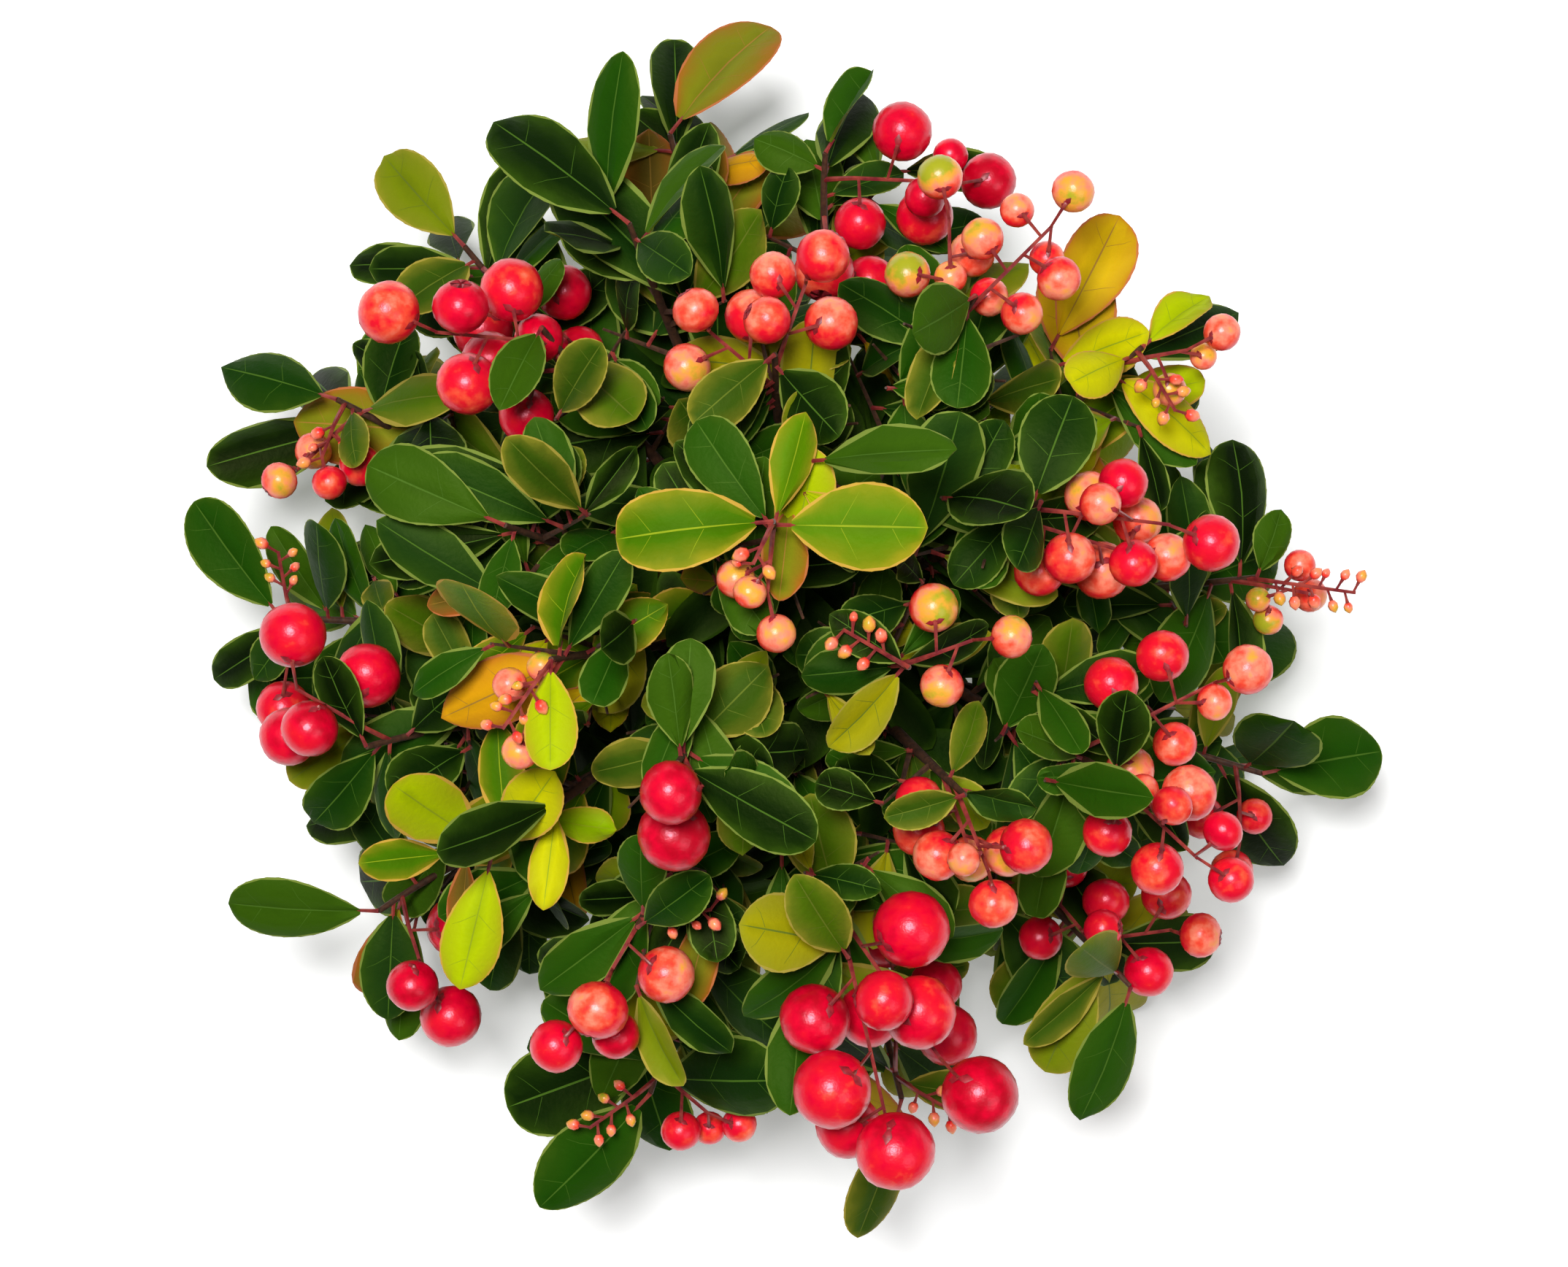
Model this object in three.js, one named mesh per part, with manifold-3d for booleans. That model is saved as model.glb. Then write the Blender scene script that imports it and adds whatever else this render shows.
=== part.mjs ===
// A wintergreen: a low evergreen shrub with a dense round crown of leathery leaves and berries.
// A short woody stem stands on the ground and splits into slender boughs, each with one leafy spray.
// A spray is one closed solid: leader, side twigs, leaves and berries, grown by a seeded rule.
// Units are millimetres and degrees. +Z is up, the ground is z = 0 and the stem stands on the origin.
import * as THREE from 'three';
import { mergeVertices } from 'three/addons/utils/BufferGeometryUtils.js';
import Module from 'manifold-3d';

// The crown. The shoots' tips lie on a dome, and no leaf reaches past the crown's radius.
const CROWN_RADIUS = 111;
const FRUIT_REACH = 0.86 * CROWN_RADIUS;
const DOME_RADIUS = 0.87 * CROWN_RADIUS;
const DOME_FOOT = 0.1 * CROWN_RADIUS;
const DOME_TOP = 1.04 * CROWN_RADIUS;
const DOME_ROUNDNESS = 0.6;
const RIM_TILT = 62;
const TILT_GROWTH = 1.25;

// The stem
const STEM_HEIGHT = 26;
const STEM_RADIUS = 8;
const STEM_LEAN = [1.2, 0.8];
const STEM_SEGMENTS = 15;
const FLARE_RADIUS = 12.5;
const FLARE_HEIGHT = 7;
const FLARE_LOBES = 5;
const LOBE_DEPTH = 0.16;

// The boughs leave the stem in three tiers, the outer ones lowest. A tier states from what share of
// the crown's radius it holds, where side twigs leave its leaders, and how many leaves each twig has.
const TIERS = [
  { from: 0.62, height: 10, stagger: 3, rise: 24, twigs: [0.2, 0.5], leaves: 3 },
  { from: 0.3, height: 17.5, stagger: 0, rise: 52, twigs: [0.15, 0.36, 0.56], leaves: 3 },
  { from: 0, height: 22, stagger: 0, rise: 76, twigs: [0.15, 0.36, 0.56], leaves: 3 },
];
const BOUGH_FOOT_RADIUS = 1.5;
const BOUGH_TIP_RADIUS = 1.15;
const BOUGH_SIDES = 5;
const BOUGH_STEPS = 3;
const BOUGH_SWEEP = 0.36;
const SPRAY_LENGTH = 46;
const LEADER_TIP_RADIUS = 0.6;
const LEADER_SIDES = 3;
const JOINT_GAP = 0.3;

// Side twigs
const TWIG_RADIUS = 0.8;
const TWIG_TIP_RADIUS = 0.65;
const SIDE_TWIG_LENGTH = 16;
const SIDE_TWIG_RISE = 40;

// Leaves
const LEAVES_ON_LEADER = 7;
const LOWEST_LEAF = 0.12;
const TOP_LEAF_RISE = 35;
const GOLDEN_ANGLE = 137.5;
const PAIR_ANGLE = 174;
const LEVELLING = 0.55;
const LEAF_THICKNESS = 1;
const LEAF_SINK = 0.3;
const LEAF_TAPER = 0.9;
const LEAF_STATIONS = [0.4, 0.75];
const LEAF_CROWN = 0.45;
const PETIOLE_SHARE = 0.1;

// Fruit. A pose swings a berry to one side of its raceme and lifts it by an angle.
const BERRIES_PER_RACEME = 5;
const BERRY_SPACING = 0.52;
const BERRY_MERIDIANS = 5;
const BERRY_RINGS = [62, 118];
const BERRY_SINK = 0.4;
const BERRY_POSES = [
  [1, 0], [-1, 0], [1, 35], [-1, 35], [0.2, 65], [1, -35], [-1, -35], [0.2, -60],
];
const PEDICEL_RADIUS = 0.55;
const PEDICEL_LENGTH = 3.5;
const RACEME_FEET = [0.88, 0.72];
const RACEME_START = 7;
const RACEME_RISE = 45;
const RACEME_SAG = 4;
const RACEME_SPREAD = 70;

// Spacing, and the turns and sizes that are tried until a raceme or a leaf fits
const SPACE_MARGIN = 0.55;
const GROUND_MARGIN = 1.5;
const LIMB_MARGIN = 0.8;
const RACEME_TURNS = [0, 24, -24, 48, -48, 80, -80, 120, -120, 160];
const LEAF_TURNS = [0, 28, -28, 56, -56, 90, -90, 130, -130];
const LEAF_SIZES = [1, 0.84, 0.7, 0.58];

// The sprays as they stand in the plan view. A bearing runs counter-clockwise from +X, and out is a
// share of the crown's radius. Lift raises a tip off the dome, leaf is a leaf's usual length, and the
// top leaf faces the second bearing. Berries of the stated width hang toward the last bearing.
const SPRAYS = [
  // name, bearing, out, lift, leaf, face, tint, berries, berry, toward
  ['north_west_high', 111, 0.65, 8, 31, 142, 'dark', 0, 8, 150],
  ['north_tip', 103, 0.8, 2, 25, 72, 'bronze', 0, 8, 80],
  ['north_berry', 85, 0.74, 0, 22, 60, 'dark', 8, 9.5, 80],
  ['north_east_berry', 60, 0.57, 4, 28, 104, 'dark', 8, 7.5, 56],
  ['north_east_fresh', 38, 0.69, 8, 25, 48, 'fresh', 2, 6, 10],
  ['east_berry', 26, 0.42, 0, 26, 305, 'dark', 9, 9, 28],
  ['east_rim', 6, 0.74, -2, 21, 330, 'dark', 3, 5.5, 350],
  ['south_east_berry', 336, 0.54, 2, 24, 140, 'dark', 9, 8.5, 352],
  ['east_low', 343, 0.8, -8, 25, 4, 'dark', 2, 8, 320],
  ['east_heart_berry', 317, 0.36, 0, 23, 190, 'dark', 9, 8.5, 302],
  ['south_east_rim', 314, 0.79, -2, 26, 308, 'olive', 8, 8.5, 285],
  ['south_berry', 281, 0.5, 0, 24, 20, 'olive', 8, 12, 270],
  ['south_rim', 254, 0.76, -2, 29, 266, 'dark', 2, 7, 320],
  ['south_low', 284, 0.77, -8, 24, 262, 'olive', 2, 11, 290],
  ['south_middle', 244, 0.5, -6, 24, 340, 'dark', 3, 9.5, 240],
  ['south_west_fresh', 218, 0.55, 5, 25, 262, 'fresh', 0, 8, 330],
  ['west_low', 215, 0.78, -2, 25, 172, 'dark', 2, 10.5, 240],
  ['west_berry', 196, 0.66, 2, 24, 110, 'dark', 5, 11, 150],
  ['west_edge', 179, 0.8, -4, 23, 120, 'dark', 1, 9.5, 200],
  ['west_fresh', 188, 0.34, 6, 25, 295, 'fresh', 2, 5.5, 240],
  ['south_heart_berry', 232, 0.25, 2, 27, 352, 'dark', 2, 11.5, 300],
  ['crown_pair', 96, 0.15, 9, 27, 178, 'fresh', 2, 6, 265],
  ['north_heart_berry', 92, 0.4, -2, 27, 192, 'dark', 8, 8.5, 345],
  ['west_heart', 160, 0.44, -4, 23, 150, 'dark', 0, 9, 100],
  ['west_dark', 153, 0.79, 2, 26, 150, 'dark', 3, 7, 200],
  ['north_west_rim', 130, 0.78, 2, 25, 130, 'dark', 3, 10, 240],
  ['north_west_heart', 129, 0.58, -2, 26, 330, 'dark', 7, 10, 130],
  ['east_heart', 342, 0.19, -4, 23, 88, 'dark', 2, 7.5, 20],
].map(([name, bearing, out, lift, leaf, face, tint, berries, berry, toward]) => (
  { name, bearing, out, lift, leaf, face, tint, berries, berry, toward }));

const UP = new THREE.Vector3(0, 0, 1);
const radians = THREE.MathUtils.degToRad;
const mix = THREE.MathUtils.lerp;

// A seeded stream of numbers from 0 to 1.
function stream(seed) {
  let state = (seed * 2654435761) >>> 0;
  return () => {
    state = (Math.imul(state, 1664525) + 1013904223) >>> 0;
    return state / 4294967296;
  };
}

function heading(bearing, rise = 0) {
  const flat = Math.cos(radians(rise));
  return new THREE.Vector3(
    flat * Math.cos(radians(bearing)),
    flat * Math.sin(radians(bearing)),
    Math.sin(radians(rise)),
  );
}

// The part of a vector that is square to a unit axis, as a unit vector.
function squareTo(axis, vector) {
  return vector.clone().addScaledVector(axis, -vector.dot(axis)).normalize();
}

// A unit vector square to an axis, turned about it by an angle in degrees.
function around(axis, angle) {
  const start = squareTo(axis, Math.abs(axis.z) < 0.95 ? UP : new THREE.Vector3(1, 0, 0));
  const other = axis.clone().cross(start);
  return start.multiplyScalar(Math.cos(radians(angle))).addScaledVector(other, Math.sin(radians(angle)));
}

// The angle about an axis that comes nearest to a bearing.
function angleToward(axis, bearing) {
  const way = heading(bearing);
  return THREE.MathUtils.radToDeg(Math.atan2(way.dot(around(axis, 90)), way.dot(around(axis, 0))));
}

// Limbs: where each bough leaves the stem, and the curve that it and its spray's leader share.

function tierOf(spray) {
  return TIERS.find((tier) => spray.out > tier.from);
}

// Spreads the feet of a tier's boughs evenly round the stem, in the order of their bearings.
function placeFeet(tier) {
  const members = SPRAYS.filter((spray) => tierOf(spray) === tier).sort((a, b) => a.bearing - b.bearing);
  const step = 360 / members.length;
  const turn = members.reduce((sum, spray, i) => sum + spray.bearing - i * step, 0) / members.length;
  return members.map((spray, i) => {
    const height = tier.height + (i % 2) * tier.stagger;
    return { spray, bearing: turn + i * step, height };
  });
}

function shootCurve(foot) {
  const { spray } = foot;
  const radius = spray.out * CROWN_RADIUS;
  const share = Math.min(radius / DOME_RADIUS, 1);
  const height = mix(DOME_FOOT, DOME_TOP, (1 - share ** 2) ** DOME_ROUNDNESS) + spray.lift;
  const tip = heading(spray.bearing).multiplyScalar(radius).setZ(height);
  const tilt = RIM_TILT * share ** TILT_GROWTH;
  const start = heading(foot.bearing).multiplyScalar(0.4 * STEM_RADIUS).setZ(foot.height);
  const span = tip.distanceTo(start);
  return new THREE.CubicBezierCurve3(
    start,
    start.clone().addScaledVector(heading(foot.bearing, tierOf(spray).rise), BOUGH_SWEEP * span),
    tip.clone().addScaledVector(heading(spray.bearing, 90 - tilt), -BOUGH_SWEEP * span),
    tip,
  );
}

function makeShoot(foot, index) {
  const curve = shootCurve(foot);
  const length = curve.getLength();
  const split = 1 - SPRAY_LENGTH / length;
  const at = (share) => curve.getPointAt(Math.min(Math.max(share, 0), 1));
  const bough = [...Array(BOUGH_STEPS + 1).keys()].map((i) => at((split * i) / BOUGH_STEPS));
  const leaderStart = split + JOINT_GAP / length;
  const leaderAt = (share) => at(mix(leaderStart, 1, share));
  return {
    ...foot.spray,
    random: stream(index + 1),
    bough,
    leaderAt,
    axisAt: (share) => curve.getTangentAt(mix(leaderStart, 1, share)),
    chord: [leaderAt(0), leaderAt(1)],
    twigs: [],
    leaves: [],
    fruit: [],
  };
}

// Spaces: a point belongs to the spray whose leader is nearest.

function distanceToChord(point, [a, b]) {
  const along = b.clone().sub(a);
  const share = THREE.MathUtils.clamp(point.clone().sub(a).dot(along) / along.lengthSq(), 0, 1);
  return point.distanceTo(a.clone().addScaledVector(along, share));
}

function inSpace(shoot, plant, points, margin = SPACE_MARGIN) {
  return points.every((point) => {
    const aboveGround = point.z > GROUND_MARGIN + margin;
    const inCrown = Math.hypot(point.x, point.y) < CROWN_RADIUS - margin;
    const reach = distanceToChord(point, shoot.chord) + 2 * margin;
    return aboveGround && inCrown
      && plant.shoots.every((other) => other === shoot || distanceToChord(point, other.chord) > reach);
  });
}

function clearOfLimbs(plant, centre, radius) {
  return plant.beads.every((bead) => bead.centre.distanceTo(centre) > bead.radius + radius + LIMB_MARGIN);
}

// Small balls along each bough and up the stem, which nothing else may touch.
function limbBeads(shoots) {
  const beads = [0.1, 0.5, 0.9].map((share) => ({
    centre: new THREE.Vector3(...STEM_LEAN, 0).multiplyScalar(share ** 2).setZ(share * STEM_HEIGHT),
    radius: share < 0.3 ? FLARE_RADIUS : STEM_RADIUS,
  }));
  shoots.forEach(({ bough }) => {
    bough.slice(1).forEach((end, i) => {
      for (let k = 1; k <= 4; k += 1) {
        beads.push({ centre: bough[i].clone().lerp(end, k / 4), radius: BOUGH_FOOT_RADIUS });
      }
    });
  });
  return beads;
}

// Fruit: racemes arch out from under the top leaves, with berries on short stalks to both sides.

function berryFits(shoot, plant, { centre, radius }) {
  return inSpace(shoot, plant, [centre], radius + SPACE_MARGIN)
    && Math.hypot(centre.x, centre.y) + radius < FRUIT_REACH
    && clearOfLimbs(plant, centre, radius)
    && plant.fruit.every((other) => other.centre.distanceTo(centre) > other.radius + radius);
}

function layRaceme(shoot, plant, foot, bearing, dice) {
  const bend = foot.clone().addScaledVector(heading(bearing, RACEME_RISE), RACEME_START);
  const along = heading(bearing, RACEME_SAG);
  const spacing = BERRY_SPACING * shoot.berry;
  const fruit = [];
  dice.forEach(([size, spread, droop], i) => {
    const last = i === dice.length - 1;
    const root = bend.clone().addScaledVector(along, spacing * (last ? i + 0.8 : i + 0.2));
    if (!inSpace(shoot, plant, [bend, root], TWIG_RADIUS)) return;
    const radius = (shoot.berry / 2) * mix(0.88, 1.12, size);
    const side = (last ? 0.2 : 1) * (i % 2 ? 1 : -1);
    const placed = { ...plant, fruit: [...plant.fruit, ...fruit] };
    BERRY_POSES.some(([flip, lift]) => {
      const way = heading(bearing + flip * side * mix(50, 85, spread), lift - 30 * droop);
      const centre = root.clone().addScaledVector(way, radius + PEDICEL_LENGTH);
      const berry = { root, way, radius, centre };
      const fits = berryFits(shoot, placed, berry);
      if (fits) fruit.push(berry);
      return fits;
    });
  });
  return { foot, bend, fruit };
}

function growFruit(shoot, plant) {
  const racemes = Math.ceil(shoot.berries / BERRIES_PER_RACEME);
  for (let k = 0; k < racemes; k += 1) {
    const count = Math.floor((shoot.berries + k) / racemes);
    const dice = Array.from({ length: count }, () => [shoot.random(), shoot.random(), shoot.random()]);
    const foot = shoot.leaderAt(RACEME_FEET[k]);
    const bearing = shoot.toward + (k - (racemes - 1) / 2) * RACEME_SPREAD;
    const { bend, fruit } = RACEME_TURNS
      .map((turn) => layRaceme(shoot, plant, foot, bearing + turn, dice))
      .reduce((most, next) => (next.fruit.length > most.fruit.length ? next : most));
    if (fruit.length) {
      const end = fruit.at(-1).root;
      shoot.twigs.push([foot, bend, end.clone().lerp(bend, -0.5 / end.distanceTo(bend))]);
      shoot.fruit.push(...fruit);
      plant.fruit.push(...fruit);
    }
  }
}

// Leaves

function halfWidth(leaf, u) {
  const q = Math.max(u - PETIOLE_SHARE, 0) / (1 - PETIOLE_SHARE);
  const peak = LEAF_TAPER / (LEAF_TAPER + leaf.blunt);
  const shape = (q / peak) ** LEAF_TAPER * ((1 - q) / (1 - peak)) ** leaf.blunt;
  return (shape * leaf.width) / 2;
}

// The midrib is an arc that bends down. u runs along it from 0 to 1 and v across the blade from -1 to 1.
function bladePoint(leaf, u, v, lift = 0) {
  const turn = leaf.bend * u;
  const arm = leaf.length / leaf.bend;
  return leaf.base.clone()
    .addScaledVector(leaf.along, arm * Math.sin(turn) + lift * Math.sin(turn))
    .addScaledVector(leaf.normal, lift * Math.cos(turn) - arm * (1 - Math.cos(turn)))
    .addScaledVector(leaf.side, v * halfWidth(leaf, u));
}

function leafOutline(leaf) {
  return [
    ...LEAF_STATIONS.map((u) => bladePoint(leaf, u, 1)),
    bladePoint(leaf, 1, 0),
    ...LEAF_STATIONS.map((u) => bladePoint(leaf, u, -1)).reverse(),
  ];
}

// The flat ellipse that stands for a leaf where it is tested against other leaves, limbs and fruit.
function leafDisc(leaf) {
  const along = squareTo(leaf.side, bladePoint(leaf, 0.9, 0).sub(bladePoint(leaf, 0.2, 0)));
  return {
    centre: bladePoint(leaf, 0.55, 0),
    along,
    side: leaf.side,
    normal: leaf.side.clone().cross(along),
    long: 0.45 * leaf.length,
    wide: 0.5 * leaf.width,
  };
}

function onDisc(disc, offset, grow = 0) {
  const u = offset.dot(disc.along) / (disc.long + grow);
  const v = offset.dot(disc.side) / (disc.wide + grow);
  return Math.hypot(u, v) < 1;
}

function touchesBall(disc, { centre, radius }) {
  const offset = centre.clone().sub(disc.centre);
  return Math.abs(offset.dot(disc.normal)) < radius + LIMB_MARGIN && onDisc(disc, offset, radius);
}

function hangsOver(disc, { centre }) {
  const offset = centre.clone().sub(disc.centre);
  const drop = offset.dot(disc.normal) / disc.normal.z;
  return drop < 0 && onDisc(disc, offset.addScaledVector(UP, -drop));
}

function outlineCrosses(outline, disc) {
  return outline.some((point, i) => {
    const a = point.clone().sub(disc.centre);
    const b = outline[(i + 1) % outline.length].clone().sub(disc.centre);
    const above = a.dot(disc.normal);
    const below = b.dot(disc.normal);
    return above * below < 0 && onDisc(disc, a.lerp(b, above / (above - below)));
  });
}

function leafFits(shoot, plant, { outline, disc }) {
  return inSpace(shoot, plant, outline)
    && !plant.beads.some((bead) => touchesBall(disc, bead))
    && !plant.fruit.some((berry) => touchesBall(disc, berry) || hangsOver(disc, berry))
    && !shoot.leaves.some((leaf) => (
      outlineCrosses(outline, leaf.disc) || outlineCrosses(leaf.outline, disc)));
}

// Tries a leaf at a node, made shorter and then turned further, and keeps the first that fits.
function growLeaf(shoot, plant, node) {
  const { random } = shoot;
  const turn = mix(-15, 15, random());
  const rise = radians(node.rise + mix(-8, 8, random()));
  const size = node.size * shoot.leaf * mix(0.86, 1.14, random());
  const slim = mix(0.56, 0.7, random());
  const blunt = mix(0.5, 0.8, random());
  const bend = mix(0.2, 0.7, random());
  const roll = mix(-0.25, 0.25, random());
  const facing = UP.clone()
    .addScaledVector(heading(shoot.bearing), 0.3 * shoot.out)
    .addScaledVector(node.axis, 0.25);
  LEAF_TURNS.some((swing) => LEAF_SIZES.some((share) => {
    const along = around(node.axis, node.angle + turn + swing).multiplyScalar(Math.cos(rise));
    along.addScaledVector(node.axis, Math.sin(rise));
    along.setZ(LEVELLING * along.z).normalize();
    const level = squareTo(along, facing);
    const normal = squareTo(along, level.clone().addScaledVector(along.clone().cross(level), roll));
    const side = along.clone().cross(normal);
    const length = size * share;
    const leaf = { base: node.base, along, normal, side, length, width: length * slim, blunt, bend };
    leaf.outline = leafOutline(leaf);
    leaf.disc = leafDisc(leaf);
    const fits = leafFits(shoot, plant, leaf);
    if (fits) shoot.leaves.push(leaf);
    return fits;
  }));
}

// Grows the leaves of the leader from the top one down. The centre shoot ends in an opposite pair.
function growLeader(shoot, plant) {
  const second = shoot.name === 'crown_pair' ? PAIR_ANGLE : GOLDEN_ANGLE;
  for (let k = 0; k < LEAVES_ON_LEADER; k += 1) {
    const down = k / (LEAVES_ON_LEADER - 1);
    const share = mix(1, LOWEST_LEAF, down ** 1.35);
    const axis = shoot.axisAt(share);
    const turn = k ? second + GOLDEN_ANGLE * (k - 1) : 0;
    growLeaf(shoot, plant, {
      base: shoot.leaderAt(share),
      axis,
      angle: angleToward(axis, shoot.face) + turn,
      rise: mix(TOP_LEAF_RISE, 0, down),
      size: 1,
    });
  }
}

function growSideTwig(shoot, plant, share, angle, count) {
  const { random } = shoot;
  const foot = shoot.leaderAt(share);
  const axis = shoot.axisAt(share);
  const rise = radians(SIDE_TWIG_RISE);
  const way = around(axis, angle + 40 * random()).multiplyScalar(Math.cos(rise));
  way.addScaledVector(axis, Math.sin(rise));
  const end = foot.clone().addScaledVector(way, SIDE_TWIG_LENGTH * mix(0.8, 1.2, random()));
  const points = [0.5, 1].map((part) => foot.clone().lerp(end, part));
  const fits = inSpace(shoot, plant, points, TWIG_RADIUS) && points.every((point) => (
    clearOfLimbs(plant, point, TWIG_RADIUS)
    && plant.fruit.every((berry) => berry.centre.distanceTo(point) > berry.radius + TWIG_RADIUS)));
  if (!fits) return;
  shoot.twigs.push([foot, ...points]);
  for (let k = 0; k < count; k += 1) {
    const down = k / (count - 1);
    growLeaf(shoot, plant, {
      base: foot.clone().lerp(end, mix(0.96, 0.45, down)),
      axis: way,
      angle: angle + GOLDEN_ANGLE * k,
      rise: mix(45, 5, down),
      size: 0.9,
    });
  }
}

function growPlant() {
  const feet = TIERS.flatMap(placeFeet);
  const shoots = SPRAYS.map((spray, index) => makeShoot(feet.find((foot) => foot.spray === spray), index));
  const plant = { shoots, beads: limbBeads(shoots), fruit: [] };
  shoots.forEach((shoot) => growFruit(shoot, plant));
  shoots.forEach((shoot) => growLeader(shoot, plant));
  shoots.forEach((shoot) => {
    const { twigs, leaves } = tierOf(shoot);
    twigs.forEach((share, k) => {
      growSideTwig(shoot, plant, share, shoot.face + GOLDEN_ANGLE * (k + 0.5), leaves);
    });
  });
  return plant;
}

// Solids

const wasm = await Module();
wasm.setup();

function solidOf(geometry) {
  const bare = new THREE.BufferGeometry().setAttribute('position', geometry.getAttribute('position'));
  bare.setIndex(geometry.index);
  const merged = mergeVertices(bare, 1e-4);
  return new wasm.Manifold(new wasm.Mesh({
    numProp: 3,
    vertProperties: merged.attributes.position.array,
    triVerts: new Uint32Array(merged.index.array),
  }));
}

function geometryOf(solid) {
  const mesh = solid.getMesh();
  return new THREE.BufferGeometry()
    .setAttribute('position', new THREE.BufferAttribute(mesh.vertProperties, 3))
    .setIndex(new THREE.BufferAttribute(mesh.triVerts, 1));
}

function meshGeometry(points, triangles) {
  return new THREE.BufferGeometry().setFromPoints(points).setIndex(triangles.flat());
}

// A tapering limb with flat ends, through a list of points.
function limbGeometry(points, from, to, sides) {
  const corners = [];
  let start = null;
  points.forEach((point, i) => {
    const before = points[Math.max(i - 1, 0)];
    const after = points[Math.min(i + 1, points.length - 1)];
    const axis = after.clone().sub(before).normalize();
    start = start ? squareTo(axis, start) : around(axis, 0);
    const other = axis.clone().cross(start);
    const radius = mix(from, to, i / (points.length - 1));
    for (let k = 0; k < sides; k += 1) {
      const angle = (2 * Math.PI * k) / sides;
      const out = start.clone().multiplyScalar(Math.cos(angle)).addScaledVector(other, Math.sin(angle));
      corners.push(point.clone().addScaledVector(out, radius));
    }
  });
  const triangles = [];
  const last = corners.length - sides;
  for (let row = 0; row < last; row += sides) {
    for (let k = 0; k < sides; k += 1) {
      const [a, b] = [row + k, row + ((k + 1) % sides)];
      triangles.push([a, b, b + sides], [a, b + sides, a + sides]);
    }
  }
  for (let k = 1; k < sides - 1; k += 1) {
    triangles.push([0, k + 1, k], [last, last + k, last + k + 1]);
  }
  return meshGeometry(corners, triangles);
}

// A twig or raceme: it starts as a point inside its leader, swells to its bend and ends blunt.
function twigGeometry([foot, bend, end]) {
  const axis = end.clone().sub(foot).normalize();
  const ring = (centre, radius) => (
    [0, 120, 240].map((angle) => centre.clone().addScaledVector(around(axis, angle), radius)));
  const sides = [[1, 2], [2, 3], [3, 1]].flatMap(([a, b]) => [[0, b, a], [a, b, b + 3], [a, b + 3, a + 3]]);
  const points = [foot, ...ring(bend, TWIG_RADIUS), ...ring(end, TWIG_TIP_RADIUS)];
  return meshGeometry(points, [...sides, [4, 5, 6]]);
}

// A blade: a root point sunk in the twig, a sharp outline, a flat underside and a raised midrib.
function leafGeometry(leaf) {
  const points = [
    leaf.base.clone().addScaledVector(leaf.along, -LEAF_SINK),
    ...leaf.outline,
    bladePoint(leaf, LEAF_CROWN, 0, LEAF_THICKNESS),
  ];
  const upper = [0, 1, 2, 3, 4, 5].map((i) => [i, (i + 1) % 6, 6]);
  const lower = [[0, 5, 1], [1, 5, 4], [1, 4, 2], [2, 4, 3]];
  return meshGeometry(points, [...upper, ...lower]);
}

// A berry in one piece with its short stalk, which starts as a point inside the raceme.
function berryGeometry({ root, way, radius }) {
  const centre = radius + PEDICEL_LENGTH;
  const rings = BERRY_RINGS.map((angle) => [
    radius * Math.sin(radians(angle)),
    centre - radius * Math.cos(radians(angle)),
  ]);
  const profile = [[0, -BERRY_SINK], [PEDICEL_RADIUS, PEDICEL_LENGTH], ...rings, [0, centre + radius]];
  return new THREE.LatheGeometry(profile.map(([r, y]) => new THREE.Vector2(r, y)), BERRY_MERIDIANS)
    .applyQuaternion(new THREE.Quaternion().setFromUnitVectors(new THREE.Vector3(0, 1, 0), way))
    .translate(...root);
}

// The stem, or the room that the boughs leave round it.
function stemGeometry(grown) {
  const profile = [
    [0, 0],
    [FLARE_RADIUS, 0],
    [mix(FLARE_RADIUS, STEM_RADIUS, 0.55), 0.3 * FLARE_HEIGHT],
    [STEM_RADIUS, FLARE_HEIGHT],
    [0.96 * STEM_RADIUS, 0.7 * STEM_HEIGHT],
    [0.7 * STEM_RADIUS, 0.94 * STEM_HEIGHT],
    [0, STEM_HEIGHT + grown],
  ].map(([radius, height]) => new THREE.Vector2(radius ? radius + grown : 0, height));
  const geometry = new THREE.LatheGeometry(profile, STEM_SEGMENTS).rotateX(Math.PI / 2);
  const place = geometry.attributes.position;
  for (let i = 0; i < place.count; i += 1) {
    const height = place.getZ(i);
    const lobe = LOBE_DEPTH * Math.exp(-height / FLARE_HEIGHT);
    const swell = 1 + lobe * Math.cos(FLARE_LOBES * Math.atan2(place.getY(i), place.getX(i)));
    const lean = (height / STEM_HEIGHT) ** 2;
    place.setX(i, place.getX(i) * swell + lean * STEM_LEAN[0]);
    place.setY(i, place.getY(i) * swell + lean * STEM_LEAN[1]);
  }
  return geometry;
}

// The largest body of a solid: sealed hollows are filled and loose scraps dropped.
function wholeOf(solid) {
  return solid.decompose().reduce((best, body) => (body.volume() > best.volume() ? body : best));
}

function boughSolid(shoot, roomForStem) {
  const limb = solidOf(limbGeometry(shoot.bough, BOUGH_FOOT_RADIUS, BOUGH_TIP_RADIUS, BOUGH_SIDES));
  return wholeOf(limb.subtract(roomForStem));
}

function spraySolid(shoot) {
  const leader = [0, 0.35, 0.7, 1].map((share) => shoot.leaderAt(share));
  const pieces = [
    limbGeometry(leader, BOUGH_TIP_RADIUS, LEADER_TIP_RADIUS, LEADER_SIDES),
    ...shoot.twigs.map(twigGeometry),
    ...shoot.leaves.map(leafGeometry),
    ...shoot.fruit.map(berryGeometry),
  ];
  return wholeOf(wasm.Manifold.union(pieces.map(solidOf)));
}

const FINISHES = {
  wood: { color: 0x6b4a36, roughness: 0.85, metalness: 0 },
  dark: { color: 0x1f4a1c, roughness: 0.4, metalness: 0 },
  olive: { color: 0x4f5f16, roughness: 0.45, metalness: 0 },
  fresh: { color: 0x6f8f12, roughness: 0.42, metalness: 0 },
  bronze: { color: 0x8a5520, roughness: 0.45, metalness: 0 },
};

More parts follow.
